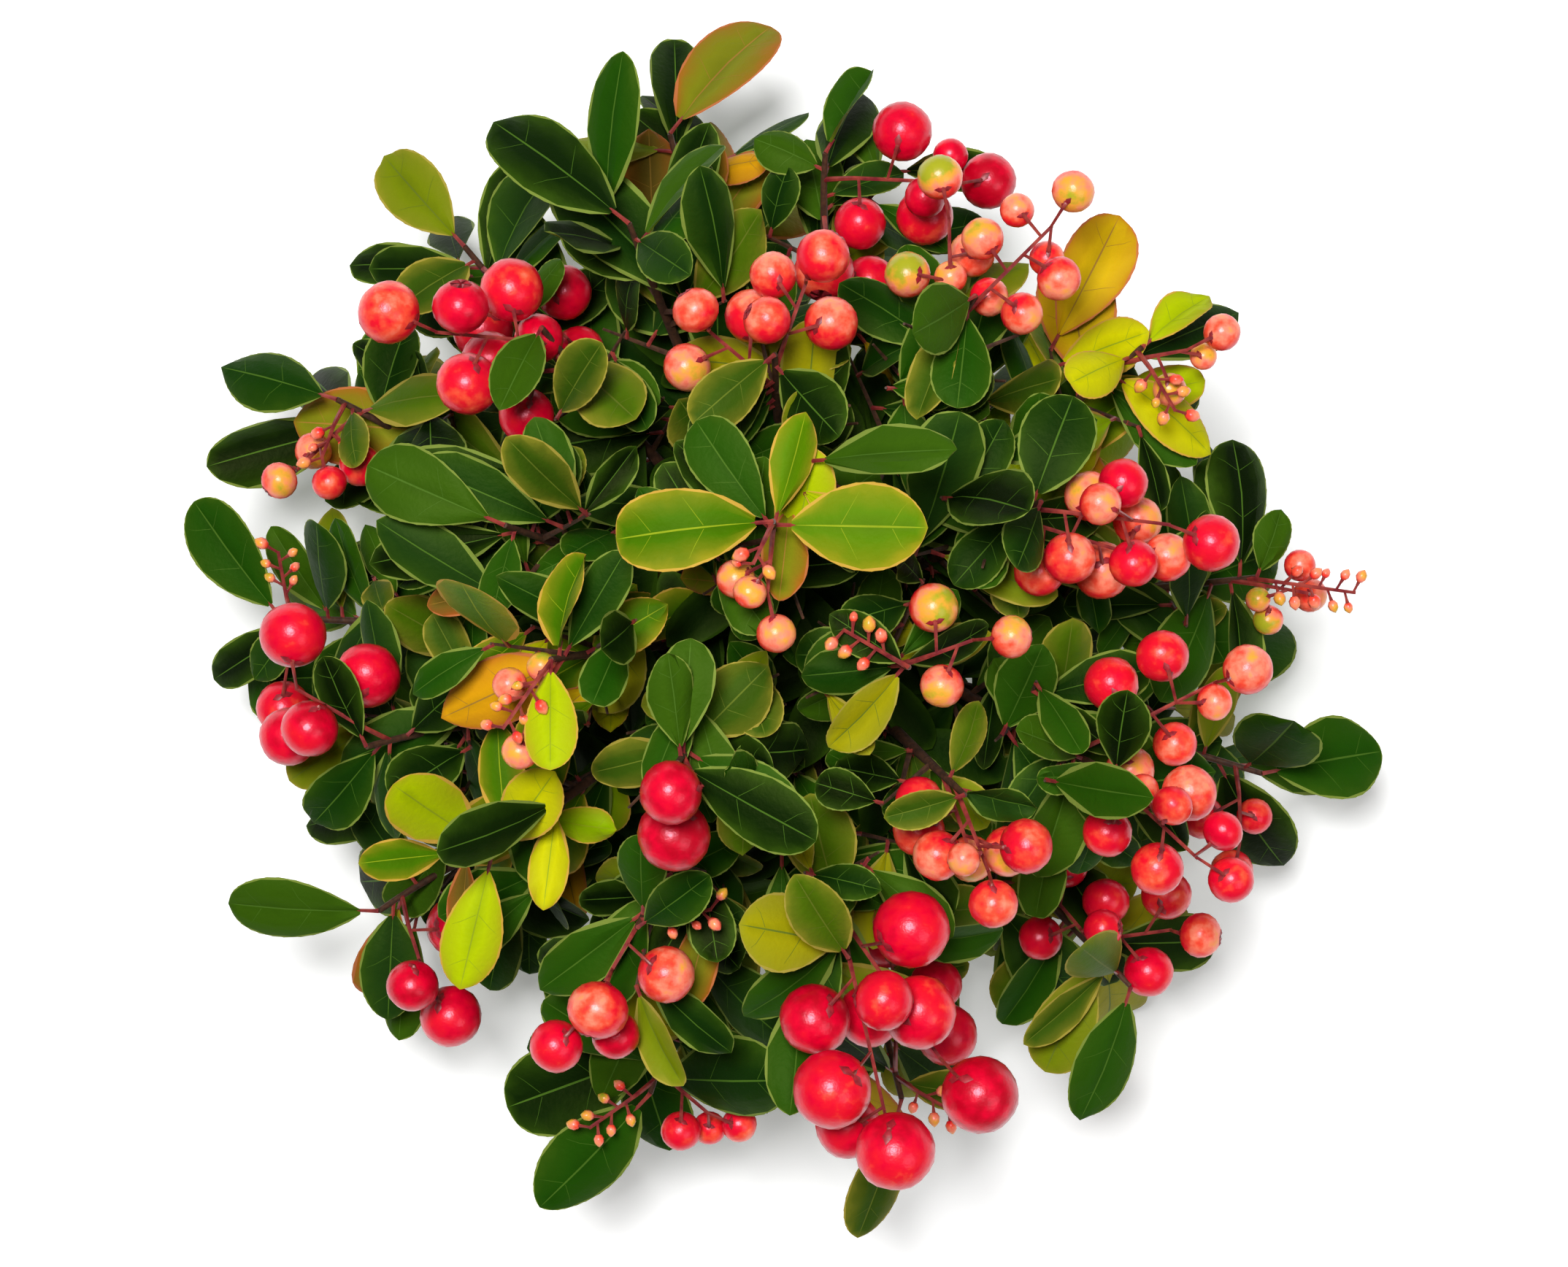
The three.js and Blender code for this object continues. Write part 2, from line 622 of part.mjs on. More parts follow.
function named(name, solid, finish) {
  const mesh = new THREE.Mesh(geometryOf(solid), new THREE.MeshStandardMaterial(FINISHES[finish]));
  mesh.name = name;
  return mesh;
}

const plant = growPlant();
const roomForStem = solidOf(stemGeometry(JOINT_GAP));

const limbs = new THREE.Group();
const foliage = new THREE.Group();
limbs.add(named('stem', solidOf(stemGeometry(0)), 'wood'));
plant.shoots.forEach((shoot) => {
  limbs.add(named(`bough_${shoot.name}`, boughSolid(shoot, roomForStem), 'wood'));
  foliage.add(named(`spray_${shoot.name}`, spraySolid(shoot), shoot.tint));
});

const wintergreen = new THREE.Group();
wintergreen.add(limbs, foliage);

export default wintergreen;
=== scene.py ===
# The looks of a wintergreen: bark over the stem and boughs, and leaves, twigs and fruit on the sprays.
# The sprays grow by the same seeded rule as the solids, and then carry finer twigs within the same space.
# Growth is worked out in millimetres and degrees, and the meshes are in metres.
import math

import bpy
import numpy as np
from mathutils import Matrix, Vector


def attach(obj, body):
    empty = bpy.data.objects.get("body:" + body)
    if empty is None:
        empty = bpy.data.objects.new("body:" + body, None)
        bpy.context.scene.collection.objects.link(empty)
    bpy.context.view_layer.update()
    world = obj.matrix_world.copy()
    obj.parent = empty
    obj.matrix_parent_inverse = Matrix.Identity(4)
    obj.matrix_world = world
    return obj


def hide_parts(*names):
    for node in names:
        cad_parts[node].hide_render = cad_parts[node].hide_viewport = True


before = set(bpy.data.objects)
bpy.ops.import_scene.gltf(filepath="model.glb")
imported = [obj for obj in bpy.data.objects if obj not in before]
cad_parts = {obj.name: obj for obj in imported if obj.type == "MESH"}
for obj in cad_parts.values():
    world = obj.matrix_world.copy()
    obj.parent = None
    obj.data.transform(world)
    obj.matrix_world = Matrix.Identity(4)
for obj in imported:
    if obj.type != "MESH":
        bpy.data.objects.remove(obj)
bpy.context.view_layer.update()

# The crown
CROWN_RADIUS = 111
FRUIT_REACH = 0.86 * CROWN_RADIUS
DOME_RADIUS = 0.87 * CROWN_RADIUS
DOME_FOOT = 0.1 * CROWN_RADIUS
DOME_TOP = 1.04 * CROWN_RADIUS
DOME_ROUNDNESS = 0.6
RIM_TILT = 62
TILT_GROWTH = 1.25

# The stem
STEM_HEIGHT = 26
STEM_RADIUS = 8
STEM_LEAN = (1.2, 0.8)
FLARE_RADIUS = 12.5
FLARE_HEIGHT = 7
FLARE_LOBES = 5
LOBE_DEPTH = 0.16

# The tiers of boughs, from the rim inward
TIERS = [
    {"from": 0.62, "height": 10, "stagger": 3, "rise": 24, "twigs": [0.2, 0.5], "leaves": 3},
    {"from": 0.3, "height": 17.5, "stagger": 0, "rise": 52, "twigs": [0.15, 0.36, 0.56], "leaves": 3},
    {"from": 0, "height": 22, "stagger": 0, "rise": 76, "twigs": [0.15, 0.36, 0.56], "leaves": 3},
]
BOUGH_FOOT_RADIUS = 1.5
BOUGH_TIP_RADIUS = 1.15
BOUGH_STEPS = 3
BOUGH_SWEEP = 0.36
SPRAY_LENGTH = 46
JOINT_GAP = 0.3

# Side twigs
TWIG_RADIUS = 0.8
SIDE_TWIG_LENGTH = 16
SIDE_TWIG_RISE = 40
TWIG_SWING = 40
TWIG_REACH_SPAN = (0.8, 1.2)
TWIG_LEAF_PLACES = (0.96, 0.45)
TWIG_LEAF_RISES = (45, 5)
TWIG_LEAF_ORDER = 3

# Leaves
LEAVES_ON_LEADER = 7
LOWEST_LEAF = 0.12
TOP_LEAF_RISE = 35
GOLDEN_ANGLE = 137.5
PAIR_ANGLE = 174
LEVELLING = 0.55
LEAF_TAPER = 0.9
LEAF_STATIONS = np.array([0.4, 0.75])
PETIOLE_SHARE = 0.1
LEAF_SPANS = {
    "turn": (-15, 15), "rise": (-8, 8), "size": (0.86, 1.14), "slim": (0.56, 0.7),
    "blunt": (0.5, 0.8), "bend": (0.2, 0.7), "roll": (-0.25, 0.25),
}
OUTWARD_FACE = 0.3
FORWARD_FACE = 0.25

# Fruit
BERRIES_PER_RACEME = 5
BERRY_SPACING = 0.52
BERRY_SIZE_SPAN = (0.88, 1.12)
BERRY_SPREAD_SPAN = (50, 85)
BERRY_DROOP = 30
BERRY_POSES = [(1, 0), (-1, 0), (1, 35), (-1, 35), (0.2, 65), (1, -35), (-1, -35), (0.2, -60)]
PEDICEL_LENGTH = 3.5
RACEME_FEET = [0.88, 0.72]
RACEME_START = 7
RACEME_RISE = 45
RACEME_SAG = 4
RACEME_SPREAD = 70

# Finer growth that the solids leave out, for each tier. Shares below 0 lie on the bough.
FINE = [
    {"twigs": [-0.2, 0.0, 0.13, 0.27, 0.42, 0.57], "reach": 1.0, "size": 0.95},
    {"twigs": [-0.45, -0.25, -0.1, 0.05, 0.16, 0.27, 0.38, 0.49, 0.6, 0.71], "reach": 1.1, "size": 1.0},
    {"twigs": [-0.6, -0.4, -0.2, -0.08, 0.05, 0.16, 0.27, 0.38, 0.5, 0.62], "reach": 1.1, "size": 1.0},
]
FINE_TWIG_LEAVES = 4
FINE_SLIM = 0.84
FINE_LEAVES = [-0.15, 0.05, 0.14, 0.24, 0.35, 0.47, 0.6, 0.74, 0.88]
FINE_TWIG_START = 60
FINE_LEAF_START = 90
FINE_LEAF_RISE = 15
FINE_LEAF_ORDER = 4

# Shade leaves on the boughs under the crown
INNER_LEAVES = [0.3, 0.42, 0.54, 0.66, 0.78, 0.9, 1.0]
INNER_SIZE = 0.95
INNER_RISE = 25
INNER_SWING = 60
INNER_ORDER = 20
INNER_REACH = 0.74

# What is added to a spray's index for the seed of each kind of finer growth
FINE_SEED, BUD_SEED, DRESS_SEED, INNER_SEED, BARK_SEED, MORE_SEED = 101, 201, 301, 401, 501, 601
STEM_SEED = 901
FULL_TURN = 6.28

# The most that a blade is turned about its midrib, in radians
LEAF_TILT = 0.6

# The berries that the solids leave out
MORE_BERRIES = 0.3
MORE_SIZE_SPAN = (0.62, 0.98)
MORE_PLACE_SPAN = (0.08, 1.02)
BERRY_PRESS = 0.15

# Racemes of buds, with where each leaves the leader, its bearing and how many buds it has
BUD_RACEME_RISE = 50
BUD_RACEME_START = 6
BUD_RACEME_SAG = 2
BUD_SPACING = 1.5
BUD_SPREAD_SPAN = (40, 80)
BUD_RISE_SPAN = (-35, 30)
BUD_RADIUS_SPAN = (0.8, 1.25)
BUD_STALK = 2.2
BUDS = {
    "east_rim": (0.96, 352, 10),
    "west_fresh": (0.98, 235, 7),
    "south_rim": (0.94, 215, 7),
    "south_low": (0.9, 330, 6),
    "east_heart": (0.97, 150, 7),
    "north_east_fresh": (0.97, 300, 6),
    "west_edge": (0.95, 100, 6),
    "south_middle": (0.95, 10, 7),
    "crown_pair": (0.98, 245, 5),
    "west_dark": (0.96, 250, 6),
}

# Spacing, and the turns and sizes that are tried until a raceme or a leaf fits
SPACE_MARGIN = 0.55
GROUND_MARGIN = 1.5
LIMB_MARGIN = 0.8
BERRY_TRIES = [(0, -20), (120, 10), (240, -40), (60, 30), (180, -10), (300, -60), (0, 60), (90, 0)]
RACEME_TURNS = [0, 24, -24, 48, -48, 80, -80, 120, -120, 160]
LEAF_TURNS = [0, 28, -28, 56, -56, 90, -90, 130, -130]
LEAF_SIZES = [1, 0.84, 0.7, 0.58]
GRID_U = np.repeat([0.25, 0.45, 0.65, 0.85], 3)
GRID_V = np.tile([-0.6, 0, 0.6], 4)
FLAT_GAP = 0.9
FLAT_SHARE = 0.95

# The sprays as they stand in the plan view, and how ripe their berries are, with the spread of that
COLUMNS = (
    "name", "bearing", "out", "lift", "leaf", "face", "tint", "berries", "berry", "toward", "ripe", "spread",
)
SPRAYS = [dict(zip(COLUMNS, row)) for row in [
    ("north_west_high", 111, 0.65, 8, 31, 142, "dark", 0, 8, 150, 0.6, 0.2),
    ("north_tip", 103, 0.8, 2, 25, 72, "bronze", 0, 8, 80, 0.6, 0.2),
    ("north_berry", 85, 0.74, 0, 22, 60, "dark", 8, 9.5, 80, 0.82, 0.1),
    ("north_east_berry", 60, 0.57, 4, 28, 104, "dark", 8, 7.5, 56, 0.52, 0.14),
    ("north_east_fresh", 38, 0.69, 8, 25, 48, "fresh", 2, 6, 10, 0.46, 0.1),
    ("east_berry", 26, 0.42, 0, 26, 305, "dark", 9, 9, 28, 0.68, 0.14),
    ("east_rim", 6, 0.74, -2, 21, 330, "dark", 3, 5.5, 350, 0.46, 0.16),
    ("south_east_berry", 336, 0.54, 2, 24, 140, "dark", 9, 8.5, 352, 0.66, 0.12),
    ("east_low", 343, 0.8, -8, 25, 4, "dark", 2, 8, 320, 0.66, 0.1),
    ("east_heart_berry", 317, 0.36, 0, 23, 190, "dark", 9, 8.5, 302, 0.56, 0.16),
    ("south_east_rim", 314, 0.79, -2, 26, 308, "olive", 8, 8.5, 285, 0.7, 0.14),
    ("south_berry", 281, 0.5, 0, 24, 20, "olive", 8, 12, 270, 0.86, 0.14),
    ("south_rim", 254, 0.76, -2, 29, 266, "dark", 2, 7, 320, 0.6, 0.2),
    ("south_low", 284, 0.77, -8, 24, 262, "olive", 2, 11, 290, 0.84, 0.14),
    ("south_middle", 244, 0.5, -6, 24, 340, "dark", 3, 9.5, 240, 0.76, 0.25),
    ("south_west_fresh", 218, 0.55, 5, 25, 262, "fresh", 0, 8, 330, 0.6, 0.2),
    ("west_low", 215, 0.78, -2, 25, 172, "dark", 2, 10.5, 240, 0.88, 0.05),
    ("west_berry", 196, 0.66, 2, 24, 110, "dark", 5, 11, 150, 0.88, 0.06),
    ("west_edge", 179, 0.8, -4, 23, 120, "dark", 1, 9.5, 200, 0.8, 0.08),
    ("west_fresh", 188, 0.34, 6, 25, 295, "fresh", 2, 5.5, 240, 0.45, 0.1),
    ("south_heart_berry", 232, 0.25, 2, 27, 352, "dark", 2, 11.5, 300, 0.9, 0.04),
    ("crown_pair", 96, 0.15, 9, 27, 178, "fresh", 2, 6, 265, 0.42, 0.12),
    ("north_heart_berry", 92, 0.4, -2, 27, 192, "dark", 8, 8.5, 345, 0.56, 0.18),
    ("west_heart", 160, 0.44, -4, 23, 150, "dark", 0, 9, 100, 0.6, 0.2),
    ("west_dark", 153, 0.79, 2, 26, 150, "dark", 3, 7, 200, 0.62, 0.15),
    ("north_west_rim", 130, 0.78, 2, 25, 130, "dark", 3, 10, 240, 0.84, 0.08),
    ("north_west_heart", 129, 0.58, -2, 26, 330, "dark", 7, 10, 130, 0.76, 0.2),
    ("east_heart", 342, 0.19, -4, 23, 88, "dark", 2, 7.5, 20, 0.6, 0.16),
]]

UP = np.array([0.0, 0.0, 1.0])


def mix(a, b, share):
    return (1 - share) * a + share * b


def within(span, share):
    return mix(*span, share)


def stream(seed):
    """A seeded stream of numbers from 0 to 1."""
    state = (seed * 2654435761) & 0xFFFFFFFF

    def draw():
        nonlocal state
        state = (state * 1664525 + 1013904223) & 0xFFFFFFFF
        return state / 4294967296

    return draw


def unit(vector):
    return vector / math.sqrt(vector @ vector)


def heading(bearing, rise=0.0):
    flat = math.cos(math.radians(rise))
    turn = math.radians(bearing)
    return np.array([flat * math.cos(turn), flat * math.sin(turn), math.sin(math.radians(rise))])


def square_to(axis, vector):
    return unit(vector - axis * (axis @ vector))


def around(axis, angle):
    """A unit vector square to an axis, turned about it by an angle."""
    start = square_to(axis, UP if abs(axis[2]) < 0.95 else np.array([1.0, 0.0, 0.0]))
    turn = math.radians(angle)
    return start * math.cos(turn) + np.cross(axis, start) * math.sin(turn)


def angle_toward(axis, bearing):
    way = heading(bearing)
    return math.degrees(math.atan2(way @ around(axis, 90), way @ around(axis, 0)))


# Limbs

class Curve:
    """A cubic curve that is read by its length."""

    def __init__(self, *corners):
        self.corners = np.array(corners)
        t = np.arange(201) / 200
        points = np.array([self.point(x) for x in t])
        steps = np.sqrt(((points[1:] - points[:-1]) ** 2).sum(axis=1))
        self.lengths = np.concatenate([[0], np.cumsum(steps)])
        self.length = self.lengths[-1]

    def point(self, t):
        k = 1 - t
        return np.array([k * k * k, 3 * k * k * t, 3 * k * t * t, t * t * t]) @ self.corners

    def share(self, u):
        target = u * self.length
        i = min(int(np.searchsorted(self.lengths, target, side="right")) - 1, 199)
        return (i + (target - self.lengths[i]) / (self.lengths[i + 1] - self.lengths[i])) / 200

    def at(self, u):
        return self.point(self.share(min(max(u, 0), 1)))

    def tangent(self, u):
        t = self.share(u)
        return unit(self.point(min(t + 0.0001, 1)) - self.point(max(t - 0.0001, 0)))


def tier_of(spray):
    return next(tier for tier in TIERS if spray["out"] > tier["from"])


def place_feet():
    feet = {}
    for tier in TIERS:
        members = sorted((s for s in SPRAYS if tier_of(s) is tier), key=lambda s: s["bearing"])
        step = 360 / len(members)
        turn = sum(s["bearing"] - i * step for i, s in enumerate(members)) / len(members)
        for i, s in enumerate(members):
            feet[s["name"]] = (turn + i * step, tier["height"] + (i % 2) * tier["stagger"])
    return feet


def shoot_curve(spray, foot_bearing, foot_height):
    radius = spray["out"] * CROWN_RADIUS
    share = min(radius / DOME_RADIUS, 1)
    tip = heading(spray["bearing"]) * radius
    tip[2] = mix(DOME_FOOT, DOME_TOP, (1 - share ** 2) ** DOME_ROUNDNESS) + spray["lift"]
    tilt = RIM_TILT * share ** TILT_GROWTH
    start = heading(foot_bearing) * 0.4 * STEM_RADIUS
    start[2] = foot_height
    span = math.dist(tip, start)
    return Curve(
        start,
        start + heading(foot_bearing, tier_of(spray)["rise"]) * BOUGH_SWEEP * span,
        tip - heading(spray["bearing"], 90 - tilt) * BOUGH_SWEEP * span,
        tip,
    )


class Shoot:
    def __init__(self, spray, foot, index):
        self.__dict__.update(spray)
        self.index = index
        self.random = stream(index + 1)
        self.curve = shoot_curve(spray, *foot)
        self.split = 1 - SPRAY_LENGTH / self.curve.length
        self.start = self.split + JOINT_GAP / self.curve.length
        self.bough = [self.curve.at(self.split * i / BOUGH_STEPS) for i in range(BOUGH_STEPS + 1)]
        self.chord = (self.leader_at(0), self.leader_at(1))
        self.twigs = []
        self.racemes = []
        self.leaves = []
        self.fruit = []
        self.buds = []

    def leader_at(self, share):
        return self.curve.at(mix(self.start, 1, share))

    def axis_at(self, share):
        return self.curve.tangent(mix(self.start, 1, share))


class Plant:
    def __init__(self):
        feet = place_feet()
        self.shoots = [Shoot(s, feet[s["name"]], i) for i, s in enumerate(SPRAYS)]
        self.starts = np.array([s.chord[0] for s in self.shoots])
        self.alongs = np.array([s.chord[1] for s in self.shoots]) - self.starts
        self.squares = (self.alongs ** 2).sum(axis=1)
        beads = []
        for share in (0.1, 0.5, 0.9):
            centre = [STEM_LEAN[0] * share ** 2, STEM_LEAN[1] * share ** 2, share * STEM_HEIGHT]
            beads.append([*centre, FLARE_RADIUS if share < 0.3 else STEM_RADIUS])
        for shoot in self.shoots:
            for a, b in zip(shoot.bough, shoot.bough[1:]):
                beads += [[*mix(a, b, k / 4), BOUGH_FOOT_RADIUS] for k in range(1, 5)]
        self.beads = np.array(beads)
        self.fruit = np.empty((0, 4))
        self.mates = []
        self.centres = np.empty((0, 3))
        self.spans = np.empty(0)

    def near(self, leaf):
        """The leaves of all sprays that could touch this one."""
        if len(self.mates) != sum(len(s.leaves) for s in self.shoots):
            self.mates = [mate for s in self.shoots for mate in s.leaves]
            self.centres = np.array([mate["disc"][0] for mate in self.mates])
            self.spans = np.array([mate["reach"][0] for mate in self.mates])
        far = np.sqrt(((self.centres - leaf["disc"][0]) ** 2).sum(axis=1))
        return [self.mates[i] for i in np.flatnonzero(far < self.spans + leaf["reach"][0])]


# Spaces: a point belongs to the spray whose leader is nearest.

def in_space(shoot, plant, points, margin=SPACE_MARGIN):
    points = np.atleast_2d(points)
    if (points[:, 2] <= GROUND_MARGIN + margin).any():
        return False
    if (np.hypot(points[:, 0], points[:, 1]) >= CROWN_RADIUS - margin).any():
        return False
    offset = points[:, None] - plant.starts
    share = np.clip((offset * plant.alongs).sum(axis=2) / plant.squares, 0, 1)
    far = np.sqrt(((offset - plant.alongs * share[:, :, None]) ** 2).sum(axis=2))
    reach = far[:, shoot.index] + 2 * margin
    far[:, shoot.index] = np.inf
    return bool((far > reach[:, None]).all())


def clear_of(balls, centre, radius):
    gap = np.sqrt(((balls[:, :3] - centre) ** 2).sum(axis=1))
    return bool((gap > balls[:, 3] + radius).all())


# Fruit

def hang(root, way, radius, stalk):
    """A berry or a bud at the end of its stalk."""
    return {"root": root, "way": way, "radius": radius, "centre": root + way * (radius + stalk)}


def with_fruit(balls, fruit):
    return np.array([*balls, *[(*f["centre"], f["radius"]) for f in fruit]]).reshape(-1, 4)


def berry_fits(shoot, plant, berry, others, press=0.0):
    centre, radius = berry["centre"], berry["radius"]
    return (in_space(shoot, plant, centre, radius + SPACE_MARGIN)
            and math.hypot(centre[0], centre[1]) + radius < FRUIT_REACH
            and clear_of(plant.beads, centre, radius + LIMB_MARGIN)
            and clear_of(others, centre, radius - press))


def lay_raceme(shoot, plant, foot, bearing, dice):
    bend = foot + heading(bearing, RACEME_RISE) * RACEME_START
    along = heading(bearing, RACEME_SAG)
    spacing = BERRY_SPACING * shoot.berry
    fruit = []
    for i, (size, spread, droop) in enumerate(dice):
        last = i == len(dice) - 1
        root = bend + along * spacing * (i + 0.8 if last else i + 0.2)
        if not in_space(shoot, plant, [bend, root], TWIG_RADIUS):
            continue
        radius = shoot.berry / 2 * within(BERRY_SIZE_SPAN, size)
        side = (0.2 if last else 1) * (1 if i % 2 else -1)
        placed = with_fruit(plant.fruit, fruit)
        for flip, lift in BERRY_POSES:
            aside = flip * side * within(BERRY_SPREAD_SPAN, spread)
            way = heading(bearing + aside, lift - BERRY_DROOP * droop)
            berry = hang(root, way, radius, PEDICEL_LENGTH)
            if berry_fits(shoot, plant, berry, placed):
                fruit.append(berry)
                break
    return foot, bend, fruit


def grow_fruit(shoot, plant):
    racemes = math.ceil(shoot.berries / BERRIES_PER_RACEME)
    for k in range(racemes):
        count = (shoot.berries + k) // racemes
        dice = [(shoot.random(), shoot.random(), shoot.random()) for _ in range(count)]
        foot = shoot.leader_at(RACEME_FEET[k])
        bearing = shoot.toward + (k - (racemes - 1) / 2) * RACEME_SPREAD
        laid = [lay_raceme(shoot, plant, foot, bearing + turn, dice) for turn in RACEME_TURNS]
        foot, bend, fruit = max(laid, key=lambda raceme: len(raceme[2]))
        if fruit:
            shoot.racemes.append((foot, bend, fruit[-1]["root"]))
            shoot.fruit += fruit
            plant.fruit = with_fruit(plant.fruit, fruit)


# Leaves

def half_width(leaf, u):
    taper = leaf["taper"]
    q = np.maximum(u - PETIOLE_SHARE, 0) / (1 - PETIOLE_SHARE)
    peak = taper / (taper + leaf["blunt"])
    return (q / peak) ** taper * ((1 - q) / (1 - peak)) ** leaf["blunt"] * leaf["width"] / 2


def blade_points(leaf, u, v, lift=0.0):
    """Points of a blade: u runs along its midrib from 0 to 1, and v across it from -1 to 1."""
    u, v, lift = np.broadcast_arrays(np.asarray(u, float), v, lift)
    turn = leaf["bend"] * u
    arm = leaf["length"] / leaf["bend"]
    ahead = arm * np.sin(turn) + lift * np.sin(turn)
    above = lift * np.cos(turn) - arm * (1 - np.cos(turn))
    across = v * half_width(leaf, u)
    return (leaf["base"] + ahead[..., None] * leaf["along"] + above[..., None] * leaf["normal"]
            + across[..., None] * leaf["side"])


def shape_leaf(leaf):
    sides = np.concatenate([LEAF_STATIONS, [1], LEAF_STATIONS[::-1]])
    leaf["outline"] = blade_points(leaf, sides, np.array([1, 1, 0, -1, -1]))
    along = square_to(leaf["side"], blade_points(leaf, 0.9, 0) - blade_points(leaf, 0.2, 0))
    normal = np.cross(leaf["side"], along)
    leaf["disc"] = np.array([blade_points(leaf, 0.55, 0), along, leaf["side"], normal])
    leaf["reach"] = np.array([0.45 * leaf["length"], 0.5 * leaf["width"]])
    return leaf


def touches_balls(leaf, balls, hanging):
    if not len(balls):
        return False
    centre, along, side, normal = leaf["disc"]
    long, wide = leaf["reach"]
    offset = balls[:, :3] - centre
    radius = balls[:, 3]
    on = np.hypot(offset @ along / (long + radius), offset @ side / (wide + radius)) < 1
    if (on & (np.abs(offset @ normal) < radius + LIMB_MARGIN)).any():
        return True
    if not hanging:
        return False
    drop = offset @ normal / normal[2]
    below = offset - drop[:, None] * UP
    return bool(((drop < 0) & (np.hypot(below @ along / long, below @ side / wide) < 1)).any())


def crosses(outlines, centres, alongs, sides, normals, longs, wides):
    """Whether any closed outline goes through its disc."""
    a = outlines - centres[:, None]
    b = np.roll(a, -1, axis=1)
    above = (a * normals[:, None]).sum(axis=2)
    below = np.roll(above, -1, axis=1)
    through = above * below < 0
    if not through.any():
        return False
    share = np.where(through, above / np.where(through, above - below, 1), 0)
    meet = a * (1 - share)[:, :, None] + b * share[:, :, None]
    u = (meet * alongs[:, None]).sum(axis=2) / longs[:, None]
    v = (meet * sides[:, None]).sum(axis=2) / wides[:, None]
    return bool((through & (np.hypot(u, v) < 1)).any())


def leaf_fits(shoot, plant, leaf):
    if not in_space(shoot, plant, leaf["outline"]):
        return False
    if leaf["fine"]:
        return fine_fits(plant, leaf, shoot.leaves)
    return clear_of_all(plant, leaf, shoot.leaves)


def inner_fits(shoot, plant, leaf):
    """As for other leaves, but in any space under the crown."""
    points = leaf["outline"]
    if points[:, 2].min() < 2 * GROUND_MARGIN:
        return False
    if np.hypot(points[:, 0], points[:, 1]).max() > INNER_REACH * CROWN_RADIUS:
        return False
    return fine_fits(plant, leaf, plant.near(leaf))


def fine_fits(plant, leaf, leaves):
    return clear_of_all(plant, leaf, leaves) and not (leaves and lies_flat(leaf, leaves))


def grid_of(leaf):
    return blade_points(leaf, GRID_U, GRID_V)


def stacked(leaves, *keys):
    return [np.array([leaf[key] for leaf in leaves]) for key in keys]


def lies_flat(leaf, leaves):
    """Whether a blade is too close above or below another."""
    theirs, discs, reach = stacked(leaves, "grid", "disc", "reach")
    centre, along, side, normal = leaf["disc"]
    offset = theirs - centre
    on = np.hypot(offset @ along / leaf["reach"][0], offset @ side / leaf["reach"][1]) < FLAT_SHARE
    if (on & (np.abs(offset @ normal) < FLAT_GAP)).any():
        return True
    offset = grid_of(leaf) - discs[:, :1]
    u = (offset * discs[:, 1:2]).sum(axis=2) / reach[:, :1]
    v = (offset * discs[:, 2:3]).sum(axis=2) / reach[:, 1:]
    high = np.abs((offset * discs[:, 3:]).sum(axis=2))
    return bool(((np.hypot(u, v) < FLAT_SHARE) & (high < FLAT_GAP)).any())


def clear_of_all(plant, leaf, leaves):
    if touches_balls(leaf, plant.beads, False) or touches_balls(leaf, plant.fruit, True):
        return False
    if not leaves:
        return True
    outlines, discs, reach = stacked(leaves, "outline", "disc", "reach")
    own, disc, size = stacked([leaf] * len(leaves), "outline", "disc", "reach")
    return not (crosses(own, *discs.transpose(1, 0, 2), *reach.T)
                or crosses(outlines, *disc.transpose(1, 0, 2), *size.T))


def grow_leaf(shoot, plant, draw, base, axis, angle, rise, size, order, fine=False, fits=leaf_fits):
    """Tries a leaf at a node, made shorter and then turned further, and keeps the first that fits."""
    own = {key: within(span, draw()) for key, span in LEAF_SPANS.items()}
    rise = math.radians(rise + own["rise"])
    size = size * shoot.leaf * own["size"]
    slim = own["slim"] * (FINE_SLIM if fine else 1)
    facing = UP + heading(shoot.bearing) * OUTWARD_FACE * shoot.out + axis * FORWARD_FACE
    for swing in LEAF_TURNS:
        along = around(axis, angle + own["turn"] + swing) * math.cos(rise) + axis * math.sin(rise)
        along[2] *= LEVELLING
        along = unit(along)
        level = square_to(along, facing)
        normal = square_to(along, level + np.cross(along, level) * own["roll"])
        side = np.cross(along, normal)
        for share in LEAF_SIZES[:3] if fine else LEAF_SIZES:
            length = size * share
            leaf = shape_leaf({
                "base": base, "along": along, "normal": normal, "side": side,
                "length": length, "width": length * slim, "taper": LEAF_TAPER, "blunt": own["blunt"],
                "bend": own["bend"], "order": order, "fine": fine,
            })
            if fits(shoot, plant, leaf):
                leaf["grid"] = grid_of(leaf)
                shoot.leaves.append(leaf)
                return


def grow_leader(shoot, plant):
    second = PAIR_ANGLE if shoot.name == "crown_pair" else GOLDEN_ANGLE
    for k in range(LEAVES_ON_LEADER):
        down = k / (LEAVES_ON_LEADER - 1)
        share = mix(1, LOWEST_LEAF, down ** 1.35)
        axis = shoot.axis_at(share)
        turn = second + GOLDEN_ANGLE * (k - 1) if k else 0
        angle = angle_toward(axis, shoot.face) + turn
        rise = mix(TOP_LEAF_RISE, 0, down)
        grow_leaf(shoot, plant, shoot.random, shoot.leader_at(share), axis, angle, rise, 1, k)


